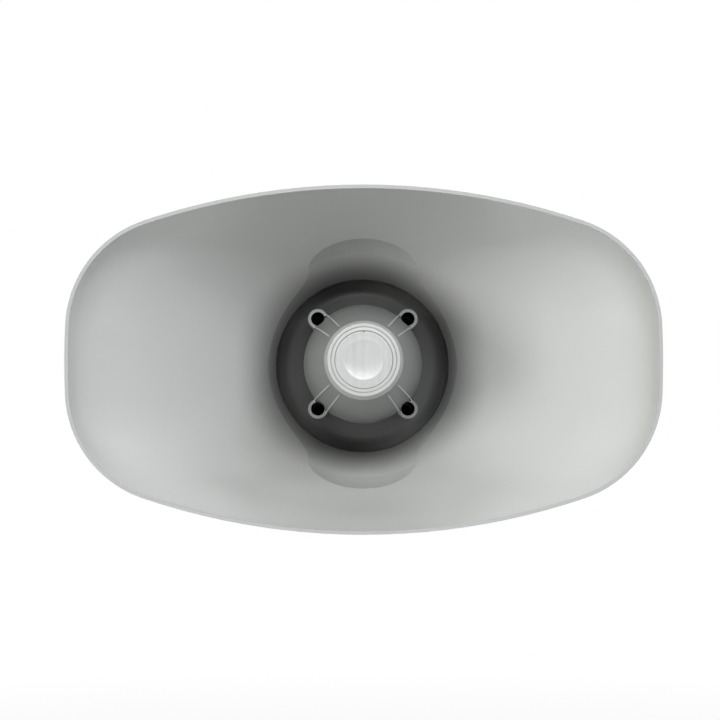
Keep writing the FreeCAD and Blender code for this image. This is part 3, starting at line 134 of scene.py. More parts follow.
class Graph:
    """A node tree being filled, with short ways to add and join nodes."""

    def __init__(self, tree: bpy.types.NodeTree) -> None:
        """Start on an empty tree.

        Args:
            tree: The material's or group's node tree.
        """
        self.tree = tree
        tree.nodes.clear()

    def add(self, kind: str, **settings: object) -> bpy.types.Node:
        """Add a node and set its properties.

        Args:
            kind: Type name of the node.
            **settings: Properties of the node by name.

        Returns:
            The new node.
        """
        node = self.tree.nodes.new(kind)
        for name, value in settings.items():
            setattr(node, name, value)
        return node

    def join(self, source: Socket, target: Socket) -> None:
        """Link an output to an input."""
        self.tree.links.new(source, target)

    def fill(self, inputs: bpy.types.NodeInputs, values: dict[str | int, object]) -> None:
        """Give several inputs of a node a link or a plain value each.

        Args:
            inputs: The node's inputs.
            values: A socket, a number, a vector or a colour, by name or place of each input.
        """
        for label, value in values.items():
            if isinstance(value, bpy.types.NodeSocket):
                self.join(value, inputs[label])
            else:
                inputs[label].default_value = value

    def maths(self, operation: str, first: object, second: object = 0.0) -> Socket:
        """Join two values with a math node.

        Args:
            operation: Name of the operation.
            first: A socket or a number.
            second: A socket or a number.

        Returns:
            The result's socket.
        """
        node = self.add("ShaderNodeMath", operation=operation)
        self.fill(node.inputs, {0: first, 1: second})
        return node.outputs[0]

    def ramp(
        self,
        value: Socket,
        start: object = 0.0,
        end: object = 1.0,
        low: object = 0.0,
        high: object = 1.0,
        course: str = "SMOOTHSTEP",
    ) -> Socket:
        """Rise from one value to another while a third runs from a start to an end.

        Args:
            value: What runs.
            start: Where it starts.
            end: Where it ends.
            low: The result at the start.
            high: The result at the end.
            course: Name of the course between them.

        Returns:
            The result's socket.
        """
        node = self.add("ShaderNodeMapRange", interpolation_type=course)
        ends = {"From Min": start, "From Max": end, "To Min": low, "To Max": high}
        self.fill(node.inputs, {"Value": value, **ends})
        return node.outputs["Result"]

    def blend(self, share: object, first: object, second: object) -> Socket:
        """Mix two colours.

        Args:
            share: How much of the second colour shows.
            first: A socket or an RGBA colour.
            second: A socket or an RGBA colour.

        Returns:
            The mixed colour's socket.
        """
        node = self.add("ShaderNodeMix", data_type="RGBA")
        # A mix node's colours come after its numbers and vectors, which have the same names.
        self.fill(node.inputs, {"Factor": share, 6: first, 7: second})
        return node.outputs[2]

    def noise(self, place: Socket, scale: object, detail: float, softness: float = 0.5) -> Socket:
        """Read a noise texture.

        Args:
            place: The coordinates' socket.
            scale: Cells per metre, a socket or a number.
            detail: How many finer layers it has.
            softness: How strong the finer layers are.

        Returns:
            The noise value's socket.
        """
        node = self.add("ShaderNodeTexNoise")
        values = {"Vector": place, "Scale": scale, "Detail": detail, "Roughness": softness}
        self.fill(node.inputs, values)
        return node.outputs["Fac"]

    def split(self, vector: Socket) -> bpy.types.NodeOutputs:
        """Take a vector apart.

        Args:
            vector: Its socket.

        Returns:
            The sockets X, Y and Z.
        """
        node = self.add("ShaderNodeSeparateXYZ")
        self.join(vector, node.inputs[0])
        return node.outputs

    def show(self, surface: Socket, kind: str = "ShaderNodeOutputMaterial") -> None:
        """End the graph with the node that shows a surface."""
        self.join(surface, self.add(kind).inputs["Surface"])

    def diagonal(self, *sides: Socket) -> Socket:
        """Length of the diagonal over two sides."""
        squares = [self.maths("POWER", side, 2.0) for side in sides]
        return self.maths("SQRT", self.maths("ADD", *squares))


class Shared:
    """Effects that several finishes use, each a node group made once.

    Attributes:
        KINDS: Kind of socket by name, where it isn't a number.
        SMEARS: Fine smears for each cloud of haze.
        BROAD: Broad bands for each brushed line.
        FACING: How far a face's normal leans out of the mouth where the painted light on the reflector's
            front faces starts and is full.
        CREST: Where a crest's painted highlight starts, fades and ends, in heights of the ridge.
        LIP: Depth in metres over which the painted shade of the lip sets in.
        FORWARD: Reach in metres by which a face that looks out of the mouth counts as inside.
    """

    KINDS = {"Place": "Vector", "Fineness": "Vector", "Colour": "Color", "Tint": "Color"}
    SMEARS = 7.0
    BROAD = 0.13
    FACING = (-0.45, -0.85)
    CREST = (0.5, 3.0, 6.0)
    LIP = 0.0009
    FORWARD = 0.03

    def __init__(self) -> None:
        """Make every group."""
        self.trees = {
            Effect.HAZE: self._haze(),
            Effect.GRAIN: self._grain(),
            Effect.BRUSHING: self._brushing(),
            Effect.REFLECTOR_LIGHT_AND_SHADE: self._reflector_light_and_shade(),
            Effect.THROAT_SHADE: self._painted_throat_shade(),
        }

    def put(self, graph: Graph, effect: Effect, place: Socket) -> bpy.types.Node:
        """Put an effect in a material and give it the coordinates.

        Args:
            graph: The material's graph.
            effect: Which effect.
            place: Object coordinates.

        Returns:
            The effect's node.
        """
        node = graph.add("ShaderNodeGroup", node_tree=self.trees[effect])
        graph.join(place, node.inputs["Place"])
        return node

    def _group(
        self, effect: Effect, takes: tuple[str, ...], gives: tuple[str, ...]
    ) -> tuple[Graph, bpy.types.NodeOutputs, bpy.types.NodeInputs]:
        """Start a node group.

        Args:
            effect: Which effect it holds.
            takes: Names of its inputs after the coordinates.
            gives: Names of its outputs.

        Returns:
            The graph, the sockets of what it is given and the sockets of its result.
        """
        tree = bpy.data.node_groups.new(effect.value, "ShaderNodeTree")
        for way, labels in (("INPUT", ("Place", *takes)), ("OUTPUT", gives)):
            for label in labels:
                kind = "NodeSocket" + self.KINDS.get(label, "Float")
                tree.interface.new_socket(label, in_out=way, socket_type=kind)
        graph = Graph(tree)
        return graph, graph.add("NodeGroupInput").outputs, graph.add("NodeGroupOutput").inputs

    def _haze(self) -> bpy.types.NodeTree:
        """Soft cloudy change of colour and gloss, as moulding, handling and plating leave it.

        Returns:
            The group.
        """
        takes = ("Colour", "Tint", "Scale", "Amount", "Gloss low", "Gloss high")
        graph, given, result = self._group(Effect.HAZE, takes, ("Colour", "Gloss"))
        cloud = graph.noise(given["Place"], given["Scale"], detail=3.0)
        share = graph.maths("MULTIPLY", cloud, given["Amount"])
        mixed = graph.blend(share, given["Colour"], given["Tint"])
        fine = graph.maths("MULTIPLY", given["Scale"], self.SMEARS)
        smear = graph.noise(given["Place"], fine, detail=4.0, softness=0.6)
        gloss = graph.ramp(smear, low=given["Gloss low"], high=given["Gloss high"], course="LINEAR")
        graph.fill(result, {"Colour": mixed, "Gloss": gloss})
        return graph.tree

    def _grain(self) -> bpy.types.NodeTree:
        """Height of a fine even grain over a slow swell.

        Returns:
            The group.
        """
        graph, given, result = self._group(Effect.GRAIN, ("Grain", "Swell", "Share"), ("Height",))
        fine = graph.noise(given["Place"], given["Grain"], detail=2.0)
        slow = graph.noise(given["Place"], given["Swell"], detail=1.0)
        part = graph.maths("MULTIPLY", fine, given["Share"])
        graph.join(graph.maths("ADD", part, slow), result["Height"])
        return graph.tree

    def _brushing(self) -> bpy.types.NodeTree:
        """Long parallel scratches: a mask and a height.

        Returns:
            The group.
        """
        graph, given, result = self._group(Effect.BRUSHING, ("Fineness",), ("Mask", "Height"))
        stretch = graph.add("ShaderNodeVectorMath", operation="MULTIPLY")
        graph.fill(stretch.inputs, {0: given["Place"], 1: given["Fineness"]})
        lines = graph.noise(stretch.outputs[0], 1.0, detail=3.0, softness=0.7)
        broad = graph.noise(stretch.outputs[0], self.BROAD, detail=2.0)
        graph.fill(result, {"Mask": graph.maths("MULTIPLY", lines, broad), "Height": lines})
        return graph.tree

    def _reflector_light_and_shade(self) -> bpy.types.NodeTree:
        """Masks of painted light and shade on the reflector: one lights faces that look out of the mouth
        and the ridges' crests, one darkens the screw wells.

        Returns:
            The group.
        """
        takes = ("Shoulder", "Radius", "Nose drop", "Proud", "Front light", "Well place", "Well radius")
        graph, given, result = self._group(Effect.REFLECTOR_LIGHT_AND_SHADE, takes, ("Mask", "Wells"))
        normal = graph.split(graph.add("ShaderNodeTexCoord").outputs["Normal"])
        # Faces that look out of the mouth are painted lighter: painted light, as the lamps in front would
        # give them.
        facing = graph.ramp(normal["Y"], *self.FACING)
        place = graph.split(given["Place"])
        radius = graph.diagonal(place["X"], place["Z"])
        ahead = graph.maths("SUBTRACT", given["Shoulder"], place["Y"])
        ahead = graph.maths("MAXIMUM", ahead, 0.0)
        drop = graph.maths("MULTIPLY", graph.maths("POWER", ahead, 2.0), given["Nose drop"])
        nose = graph.maths("SUBTRACT", given["Radius"], drop)
        proud = graph.maths("SUBTRACT", radius, nose)
        least, most, beyond = (
            graph.maths("MULTIPLY", given["Proud"], heights) for heights in self.CREST
        )
        # The ridges' crests are painted lighter: a painted highlight.
        crest = graph.ramp(proud, least, given["Proud"])
        crest = graph.maths("MULTIPLY", crest, graph.ramp(proud, beyond, most))
        front_lit = graph.maths("MULTIPLY", facing, given["Front light"])
        # The screw wells' walls are painted black: painted shade of the deep holes.
        beside = [graph.maths("ABSOLUTE", place[axis]) for axis in ("X", "Z")]
        gaps = [graph.maths("SUBTRACT", reach, given["Well place"]) for reach in beside]
        well = graph.maths("LESS_THAN", graph.diagonal(*gaps), given["Well radius"])
        graph.fill(result, {"Mask": graph.maths("MAXIMUM", front_lit, crest), "Wells": well})
        return graph.tree

    def _painted_throat_shade(self) -> bpy.types.NodeTree:
        """Masks of painted shade on the bell: one grows to 1 deep inside the throat, on inner faces only;
        one picks out the mouth's lip, which is painted darker.

        Returns:
            The group.
        """
        graph, given, result = self._group(Effect.THROAT_SHADE, ("Start", "End", "Lip"), ("Mask", "Lip"))
        along = graph.split(given["Place"])["Y"]
        # Painted shade: darker deeper into the throat, on the inner faces only.
        mask = graph.ramp(along, given["Start"], given["End"])
        arm = graph.add("ShaderNodeVectorMath", operation="MULTIPLY_ADD")
        reach = (0.0, self.FORWARD, 0.0)
        graph.fill(arm.inputs, {0: given["Place"], 1: (1.0, 0.0, 1.0), 2: reach})
        normal = graph.add("ShaderNodeTexCoord").outputs["Normal"]
        outward = graph.add("ShaderNodeVectorMath", operation="DOT_PRODUCT")
        graph.fill(outward.inputs, {0: arm.outputs[0], 1: normal})
        inside = graph.maths("LESS_THAN", outward.outputs["Value"], 0.0)
        # The lip's front face is painted darker: painted shade.
        front = graph.maths("SUBTRACT", given["Lip"], self.LIP)
        lip = graph.ramp(along, given["Lip"], front)
        graph.fill(result, {"Mask": graph.maths("MULTIPLY", mask, inside), "Lip": lip})
        return graph.tree


@dataclass(frozen=True)
class PaintedShading:
    """Painted light and shade that a shared effect lays on one piece, each in a colour of its own.

    Attributes:
        effect: The effect.
        values: Value by name of each of its inputs, lengths in metres.
        paints: Colour by name of each of its masks, linear.
    """

    effect: Effect
    values: dict[str, float]
    paints: dict[str, Colour]

    def lay(self, graph: Graph, shared: Shared, place: Socket, colour: Socket) -> Socket:
        """Lay the painted light and shade over a colour.

        Args:
            graph: The material's graph.
            shared: The shared effects.
            place: Object coordinates.
            colour: The colour under them.

        Returns:
            The marked colour's socket.
        """
        masks = shared.put(graph, self.effect, place)
        graph.fill(masks.inputs, self.values)
        for mask, paint in self.paints.items():
            colour = graph.blend(masks.outputs[mask], colour, (*paint, 1.0))
        return colour


@dataclass(frozen=True)
class Finish:
    """A surface finish: colour and gloss that drift softly, and a fine relief.

    Attributes:
        name: Name of the material.
        colour: Main colour, linear.
        tint: Colour that the haze drifts to, linear.
        gloss: Lowest and highest roughness.
        haze: Cells per metre and strength of the drift.
        grain: Cells per metre of the fine grain and of the slow swell.
        grain_share: How strong the grain is beside the swell.
        relief: Height of the relief in metres.
        metal: Share of bare metal in the surface.
        coat: Strength and roughness of a clear top layer.
        brushed: Scratch lines per metre along X, Y and Z, instead of a grain, or None.
        ior: Index of refraction.
        streak: Colour of streaks along those lines, linear, or None.
        painted_shading: Painted light and shade in other colours, or None.
    """

    name: str
    colour: Colour
    tint: Colour
    gloss: tuple[float, float]
    haze: tuple[float, float] = (8.0, 0.5)
    grain: tuple[float, float] = (900.0, 60.0)
    grain_share: float = 0.3
    relief: float = 0.00002
    metal: float = 0.0
    coat: tuple[float, float] = (0.0, 0.1)
    brushed: tuple[float, float, float] | None = None
    ior: float = 1.5
    streak: Colour | None = None
    painted_shading: PaintedShading | None = None

    def material(self, shared: Shared) -> bpy.types.Material:
        """Make the material.

        Args:
            shared: The shared effects.

        Returns:
            The finished material.
        """
        material = bpy.data.materials.new(self.name)
        material.use_nodes = True
        graph = Graph(material.node_tree)
        place = graph.add("ShaderNodeTexCoord").outputs["Object"]
        shader = graph.add("ShaderNodeBsdfPrincipled")
        haze = shared.put(graph, Effect.HAZE, place)
        shades = {"Colour": (*self.colour, 1.0), "Tint": (*self.tint, 1.0)}
        drift = {"Scale": self.haze[0], "Amount": self.haze[1]}
        gloss = {"Gloss low": self.gloss[0], "Gloss high": self.gloss[1]}
        graph.fill(haze.inputs, {**shades, **drift, **gloss})
        colour = haze.outputs["Colour"]
        if self.brushed:
            fine = shared.put(graph, Effect.BRUSHING, place)
            fine.inputs["Fineness"].default_value = self.brushed
        else:
            fine = shared.put(graph, Effect.GRAIN, place)
            values = {"Grain": self.grain[0], "Swell": self.grain[1], "Share": self.grain_share}
            graph.fill(fine.inputs, values)
        if self.streak:
            colour = graph.blend(fine.outputs["Mask"], colour, (*self.streak, 1.0))
        if self.painted_shading:
            colour = self.painted_shading.lay(graph, shared, place, colour)
        bump = graph.add("ShaderNodeBump")
        graph.fill(bump.inputs, {"Distance": self.relief, "Height": fine.outputs["Height"]})
        plain = {"Metallic": self.metal, "IOR": self.ior}
        coat = {"Coat Weight": self.coat[0], "Coat Roughness": self.coat[1]}
        maps = {"Base Color": colour, "Roughness": haze.outputs["Gloss"]}
        graph.fill(shader.inputs, {**plain, **coat, **maps, "Normal": bump.outputs["Normal"]})
        graph.show(shader.outputs["BSDF"])
        return material


FINISHES = {
    Slot.HORN_PLASTIC: Finish(
        "light_grey_moulding",
        (0.583, 0.592, 0.583),
        (0.57, 0.58, 0.577),
        (0.272, 0.284),
        haze=(5.0, 0.5),
        grain=(2200.0, 40.0),
        grain_share=0.1,
        relief=0.00001,
    ),
    Slot.CAP_PLASTIC: Finish(
        "pale_cap_moulding", (0.49, 0.5, 0.49), (0.475, 0.49, 0.485), (0.29, 0.31), (9.0, 0.5)
    ),
    Slot.BADGE_METAL: Finish(
        "brushed_disc",
        (0.6, 0.605, 0.61),
        (0.53, 0.535, 0.54),
        (0.3, 0.42),
        metal=0.3,
        brushed=(1500.0, 1500.0, 22.0),
        relief=0.000006,
        streak=(0.3, 0.3, 0.305),
    ),
    Slot.BLACK_SCREW: Finish(
        "black_oxide", (0.012, 0.012, 0.013), (0.03, 0.03, 0.03), (0.3, 0.5), metal=1.0
    ),
    Slot.PLATED_SCREW: Finish(
        "zinc_plate", (0.62, 0.63, 0.64), (0.5, 0.5, 0.48), (0.22, 0.42), (90.0, 0.6), metal=1.0
    ),
    Slot.GASKET_RUBBER: Finish(
        "black_rubber", (0.012, 0.012, 0.012), (0.03, 0.03, 0.03), (0.6, 0.8), relief=0.00006
    ),
    Slot.INNER_PLASTIC: Finish(
        "glass_filled_black", (0.02, 0.02, 0.021), (0.035, 0.035, 0.035), (0.4, 0.6)
    ),
    Slot.CAST_ALLOY: Finish(
        "die_cast", (0.55, 0.55, 0.56), (0.42, 0.42, 0.43), (0.4, 0.6), metal=1.0, relief=0.0001
    ),
    Slot.FILM: Finish("phenolic_film", (0.3, 0.13, 0.04), (0.24, 0.1, 0.03), (0.25, 0.4)),
    Slot.COPPER_WIRE: Finish(
        "enamelled_wire",
        (0.62, 0.24, 0.09),
        (0.5, 0.18, 0.06),
        (0.2, 0.35),
        metal=1.0,
        brushed=(60.0, 4200.0, 60.0),
        relief=0.00005,
        coat=(0.6, 0.1),
    ),
    Slot.PLATED_IRON: Finish(
        "yellow_zinc", (0.62, 0.55, 0.34), (0.56, 0.44, 0.36), (0.25, 0.42), (60.0, 0.8), metal=1.0
    ),
    Slot.FERRITE: Finish(
        "dark_ceramic", (0.03, 0.03, 0.032), (0.05, 0.05, 0.052), (0.45, 0.65), relief=0.00008
    ),
    Slot.LAMINATIONS: Finish(
        "stacked_sheet",
        (0.16, 0.16, 0.17),
        (0.24, 0.22, 0.2),
        (0.35, 0.5),
        metal=1.0,
        brushed=(20.0, 20.0, 2400.0),
        relief=0.00006,
    ),
    Slot.GLAND_PLASTIC: Finish(
        "black_polyamide", (0.018, 0.018, 0.019), (0.03, 0.03, 0.03), (0.35, 0.5), relief=0.00004
    ),
    Slot.BRASS_INSERT: Finish(
        "machined_brass", (0.72, 0.52, 0.2), (0.6, 0.4, 0.14), (0.2, 0.34), metal=1.0
    ),
    Slot.FIBRE: Finish(
        "pressed_fibre", (0.02, 0.02, 0.02), (0.05, 0.045, 0.04), (0.7, 0.85), relief=0.00008
    ),
    Slot.BRACKET_PAINT: Finish(
        "powder_coat",
        (0.56, 0.57, 0.56),
        (0.53, 0.54, 0.535),
        (0.38, 0.5),
        grain=(1400.0, 500.0),
        grain_share=0.6,
        relief=0.00008,
    ),
}
# Painted light on the reflector's front faces and crests, and painted shade in its screw wells.
REFLECTOR_PAINTED_LIGHT_AND_SHADE = PaintedShading(
    Effect.REFLECTOR_LIGHT_AND_SHADE,
    {
        "Shoulder": -0.218,
        "Radius": 0.0528,
        "Nose drop": 1.58,
        "Proud": 0.0006,
        "Front light": 0.2,
        "Well place": 0.04,
        "Well radius": 0.0061,
    },
    {"Mask": (0.46, 0.47, 0.46), "Wells": (0.01, 0.01, 0.01)},
)
# Painted shade deep in the bell's throat and on the front of its lip.
BELL_PAINTED_SHADE = PaintedShading(
    Effect.THROAT_SHADE,
    {"Start": -0.22, "End": -0.165, "Lip": -0.3588},
    {"Mask": (0.13, 0.134, 0.13), "Lip": (0.425, 0.43, 0.435)},
)
# A darker copy of the bell's moulding: painted shade over the whole reflector.
SHADED_REFLECTOR_FINISH = replace(
    FINISHES[Slot.HORN_PLASTIC],
    name="reflector_moulding_painted_shade",
    colour=(0.192, 0.198, 0.195),
    tint=(0.18, 0.187, 0.186),
    gloss=(0.3, 0.33),
    haze=(9.0, 0.5),
    painted_shading=REFLECTOR_PAINTED_LIGHT_AND_SHADE,
)
BELL_FINISH = replace(
    FINISHES[Slot.HORN_PLASTIC], name="bell_moulding", coat=(0.3, 0.06), painted_shading=BELL_PAINTED_SHADE
)


class Wardrobe:
    """Makes each finish once and puts it on pieces."""

    def __init__(self) -> None:
        """Make the shared effects, and no material yet."""
        self.shared = Shared()
        self.made: dict[str, bpy.types.Material] = {}

    def material(self, finish: Finish) -> bpy.types.Material:
        """Find a finish's material, made at its first use.

        Args:
            finish: The finish.

        Returns:
            The material.
        """
        if finish.name not in self.made:
            self.made[finish.name] = finish.material(self.shared)
        return self.made[finish.name]

    def dress(self, piece: bpy.types.Object, finish: Finish) -> None:
        """Give a piece one material all over.

        Args:
            piece: A mesh piece.
            finish: The finish.
        """
        piece.data.materials.clear()
        piece.data.materials.append(self.material(finish))


def arc(start: Point, end: Point, bow: float, steps: int) -> list[Point]:
    """Points along an arc, without its first one.

    Args:
        start: Radius and distance along the axis where the arc begins.
        end: Radius and distance along the axis where it ends.
        bow: Rise of the arc over its chord, as a share of the chord, to the left of travel.
        steps: How many points it has.

    Returns:
        The points after the start, the end among them.
    """
    run = Vector(end) - Vector(start)
    side = Vector((-run.y, run.x))
    points = []
    for index in range(1, steps + 1):
        share = index / steps
        lift = 4 * bow * share * (1 - share)
        points.append(tuple(Vector(start) + run * share + side * lift))
    return points


@dataclass
class Turning:
    """A form that is spun about an axis and can then be shaped by angle.

    Lengths are in millimetres. Angle 0 points along the across direction.

    Attributes:
        centre: Where distance 0 along the axis lies, in metres.
        axis: Direction of the axis.
        across: Direction of angle 0.
        form: The mesh being made.
    """

    centre: Vector
    axis: Vector
    across: Vector
    form: bmesh.types.BMesh = field(default_factory=bmesh.new)

    def spin(self, outline: list[Point], steps: int, turn: float = FULL_TURN, climb: float = 0.0) -> None:
        """Spin a closed outline of (radius, distance) points about the axis.

        Args:
            outline: The half-section's corners; one at radius 0 closes on the axis.
            steps: How many steps the turn has.
            turn: Angle of the turn in degrees.
            climb: How far the form moves along the axis over the turn.
        """
        corners = [(radius, self.form.verts.new(self._place(radius, along))) for radius, along in outline]
        edges = [
            self.form.edges.new((first, second))
            for (here, first), (there, second) in zip(corners, corners[1:] + corners[:1])
            if max(here, there) > ON_AXIS
        ]
        bmesh.ops.spin(
            self.form,
            geom=edges,
            cent=self.centre,
            axis=self.axis,
            dvec=self.axis * (climb * MILLIMETRE / steps),
            angle=math.radians(turn),
            steps=steps,
            use_merge=turn == FULL_TURN,
            use_duplicate=False,
        )
        bmesh.ops.remove_doubles(self.form, verts=self.form.verts, dist=MERGE_REACH)
        bmesh.ops.holes_fill(self.form, edges=self.form.edges, sides=0)

    def _place(self, radius: float, along: float) -> Vector:
        """Point at a radius and a distance along the axis."""
        return self.centre + (self.across * radius + self.axis * along) * MILLIMETRE

    def shape(self, rule: Shaping) -> None:
        """Move every point to a new radius.

        Args:
            rule: Gives the new radius from the angle in radians, the radius and the distance.
        """
        upright = self.axis.cross(self.across)
        for vertex in self.form.verts:
            arm = (vertex.co - self.centre) / MILLIMETRE
            along = arm.dot(self.axis)
            arm -= self.axis * along
            if arm.length > ON_AXIS:
                angle = math.atan2(arm.dot(upright), arm.dot(self.across))
                radius = rule(angle, arm.length, along)
                arm = arm.normalized() * radius
                vertex.co = self.centre + (arm + self.axis * along) * MILLIMETRE


@dataclass
class Fitter:
    """Turns forms into dressed pieces that ride on a body.

    Attributes:
        wardrobe: Where the finishes come from.
    """

    wardrobe: Wardrobe

    def fit(
        self, name: str, forms: Iterable[bmesh.types.BMesh], slot: Slot, body: Body, *stands_for: str
    ) -> None:
        """Make one piece of one or more forms.

        Args:
            name: Name of the piece.
            forms: The forms, which are used up.
            slot: The record's material slot.
            body: The body that it rides on.
            *stands_for: Nodes that it replaces.
        """
        mesh = bpy.data.meshes.new(name)
        whole = bmesh.new()
        for form in forms:
            bmesh.ops.remove_doubles(form, verts=form.verts, dist=MERGE_REACH)
            bmesh.ops.recalc_face_normals(form, faces=form.faces)
            form.to_mesh(mesh)
            form.free()
            whole.from_mesh(mesh)
        whole.to_mesh(mesh)
        whole.free()
        mesh.shade_smooth()
        mesh.set_sharp_from_angle(angle=math.radians(SMOOTH_ANGLE))
        piece = bpy.data.objects.new(name, mesh)
        bpy.context.scene.collection.objects.link(piece)
        self.wardrobe.dress(piece, FINISHES[slot])
        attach(piece, body.value)
        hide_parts(*stands_for)
        LOG.info("%s: %d faces", name, len(mesh.polygons))


@dataclass
class PackedPieces:
    """The fixed solids that keep their own form.

    Attributes:
        wardrobe: Where the finishes come from.
        own: Finishes of nodes whose surface differs from their slot's: the reflector's is a darker copy
            of the bell's, as painted shade, and the bell's and the reflector's carry painted light and
            shade.
        edges: Width in millimetres of the softened edges and the least angle in degrees, by node.
    """

    wardrobe: Wardrobe
    own: dict[str, Finish] = field(
        default_factory=lambda: {"reflector": SHADED_REFLECTOR_FINISH, "horn_bell": BELL_FINISH}
    )
    edges: dict[str, tuple[float, float]] = field(
        default_factory=lambda: {
            "horn_bell": (0.7, 12.0),
            "u_bracket": (0.35, 38.0),
            "gland_body": (0.3, 38.0),
            "flat_washers": (0.2, 38.0),
        }
    )

    def dress(self, frame: dict) -> list[str]:
        """Give each solid the finish that its record names.


        Returns:
            Names of the dressed nodes.
        """
        slots = {part["node"]: Slot(part["material_slot"]) for part in frame["record"]["subparts"]}
        for name, node in frame["nodes"].items():
            self.wardrobe.dress(node, self.own.get(name, FINISHES[slots[name]]))
        for name, (width, least) in self.edges.items():
            self._soften(frame["nodes"][name], width, least)
        return sorted(slots)

    @staticmethod
    def _soften(node: bpy.types.Object, width: float, least: float) -> None:
        """Round a node's sharp edges with a modifier.

        Args:
            node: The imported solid.
            width: Width of the rounding in millimetres.
            least: Smallest angle in degrees of an edge that is rounded.
        """
        bevel = node.modifiers.new("soft_edges", "BEVEL")
        bevel.width = width * MILLIMETRE
        bevel.segments = 2
        bevel.limit_method = "ANGLE"
        bevel.angle_limit = math.radians(least)
        bevel.use_clamp_overlap = True


@dataclass
class NoseFittings:
    """Cap on the reflector's nose and the bare disc set in it.

    Attributes:
        fitter: Makes the pieces.
        taper: How much smaller the cap's front is than its seat, in radius.
        rim: Radius of the cap's rounded rim.
        wall: Thickness of the cap's skirt.
        skirt: Depth of the skirt.
        web: Thickness of the recess's floor.
        peg: Radius of the peg behind it, and the chamfer of its end.
        clearance: Gap between the disc and the recess's wall.
        lead: Radius of the recess's rounded edge.
        groove: Radius, half width and depth of the cap's groove.
        groove_edge: Radius of the groove's rounded edges.
        groove_bed: Depth of the groove's rounded bed.
        notch: Half width and depth of the locating notch at the top.
        dish: Radius and depth of the disc's dish.
        dish_edge: How far inside the dish its edge turns, its depth there, and how far outside
            it runs out.
        dish_bows: Bows of the dish and of its edge.
        bands: How far inside the rim lie the rings of points that the notch bends.
        disc_edge: Radius of the disc's rounded rim.
        steps: Steps of the turned forms.
    """

    fitter: Fitter
    taper: float = 2.8
    rim: float = 0.8
    wall: float = 2.2
    skirt: float = 16.0
    web: float = 1.9
    peg: Point = (6.0, 0.6)
    clearance: float = 0.4
    lead: float = 0.25
    groove: tuple[float, float, float] = (27.6, 0.4, 1.2)
    groove_edge: float = 0.15
    groove_bed: float = 0.2
    notch: Point = (1.2, 1.3)
    dish: Point = (16.9, 1.3)
    dish_edge: tuple[float, float, float] = (1.4, 0.22, 1.6)
    dish_bows: Point = (0.03, -0.05)
    bands: Point = (2.6, 1.4)
    disc_edge: float = 0.3
    steps: int = 240

    def build(self) -> None:
        """Make the cap and the disc."""
        self._cap()
        self._disc()

    def _turning(self, node: str) -> tuple[Turning, float, float]:
        """Start a turning about a node's axis with distance 0 at its front.

        Args:
            node: The node it stands for.

        Returns:
            The turning, the node's radius and its length in millimetres.
        """
        low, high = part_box(node)
        centre = Vector(((low.x + high.x) / 2, low.y, (low.z + high.z) / 2))
        turning = Turning(centre, Vector((0.0, 1.0, 0.0)), Vector((0.0, 0.0, 1.0)))
        return turning, (high.x - low.x) / 2 / MILLIMETRE, (high.y - low.y) / MILLIMETRE

    def _cap(self) -> None:
        """Turn the cap: rounded rim, groove, recess for the disc, skirt and peg."""
        turning, seat, length = self._turning("nose_cap")
        disc_low, disc_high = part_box("badge_plate")
        recess = (disc_high.x - disc_low.x) / 2 / MILLIMETRE + self.clearance
        floor = (disc_high.y - turning.centre.y) / MILLIMETRE
        back = floor + self.web
        front = seat - self.taper
        middle, half, depth = self.groove
        near, far, bed = middle - half, middle + half, depth - self.groove_bed
        edge = self.groove_edge
        peg, chamfer = self.peg
        outline = [(0.0, floor), (recess, floor), (recess, self.lead)]
        outline += arc((recess, self.lead), (recess + self.lead, 0.0), SOFT_BOW, steps=3)
        outline += arc((near - edge, 0.0), (near, edge), SOFT_BOW, steps=2)
        outline += arc((near, bed), (far, bed), -SOFT_BOW, steps=6)
        outline += arc((far, edge), (far + edge, 0.0), SOFT_BOW, steps=2)
        outline += [(front - self.rim, 0.0)]
        outline += arc((front - self.rim, 0.0), (front, self.rim), -QUARTER_BOW, steps=6)
        outline += [(seat, self.skirt), (seat - self.wall, self.skirt), (front - self.wall, back)]
        outline += [(peg, back), (peg, length - chamfer), (peg - chamfer, length), (0.0, length)]
        turning.spin(outline, self.steps)
        self.fitter.fit("nose_cap_turned", [turning.form], Slot.CAP_PLASTIC, Body.HORN, "nose_cap")

    def _disc(self) -> None:
        """Turn the disc with its shallow dish, rounded rim and notch."""
        turning, rim, thick = self._turning("badge_plate")
        radius, depth = self.dish
        inside, shallow, outside = self.dish_edge
        bow, edge_bow = self.dish_bows
        turn, end = (radius - inside, shallow), (radius + outside, 0.0)
        edge = self.disc_edge
        outline = [(0.0, thick), (0.0, depth)]
        outline += arc((0.0, depth), turn, bow, steps=14)
        outline += arc(turn, end, edge_bow, steps=8)
        outline += [(rim - band, 0.0) for band in (*self.bands, edge)]
        outline += arc((rim - edge, 0.0), (rim, edge), -QUARTER_BOW, steps=3)
        outline += [(rim, thick)]
        turning.spin(outline, self.steps)
        half, pull = self.notch

        def notch(angle: float, here: float, along: float) -> float:
            """Pull the rim in near the top."""
            near = max(0.0, 1.0 - abs(angle) * rim / half) * max(0.0, 1.0 - (rim - here) / pull)
            return here - near * pull

        turning.shape(notch)
        self.fitter.fit("nose_disc", [turning.form], Slot.BADGE_METAL, Body.HORN, "badge_plate")


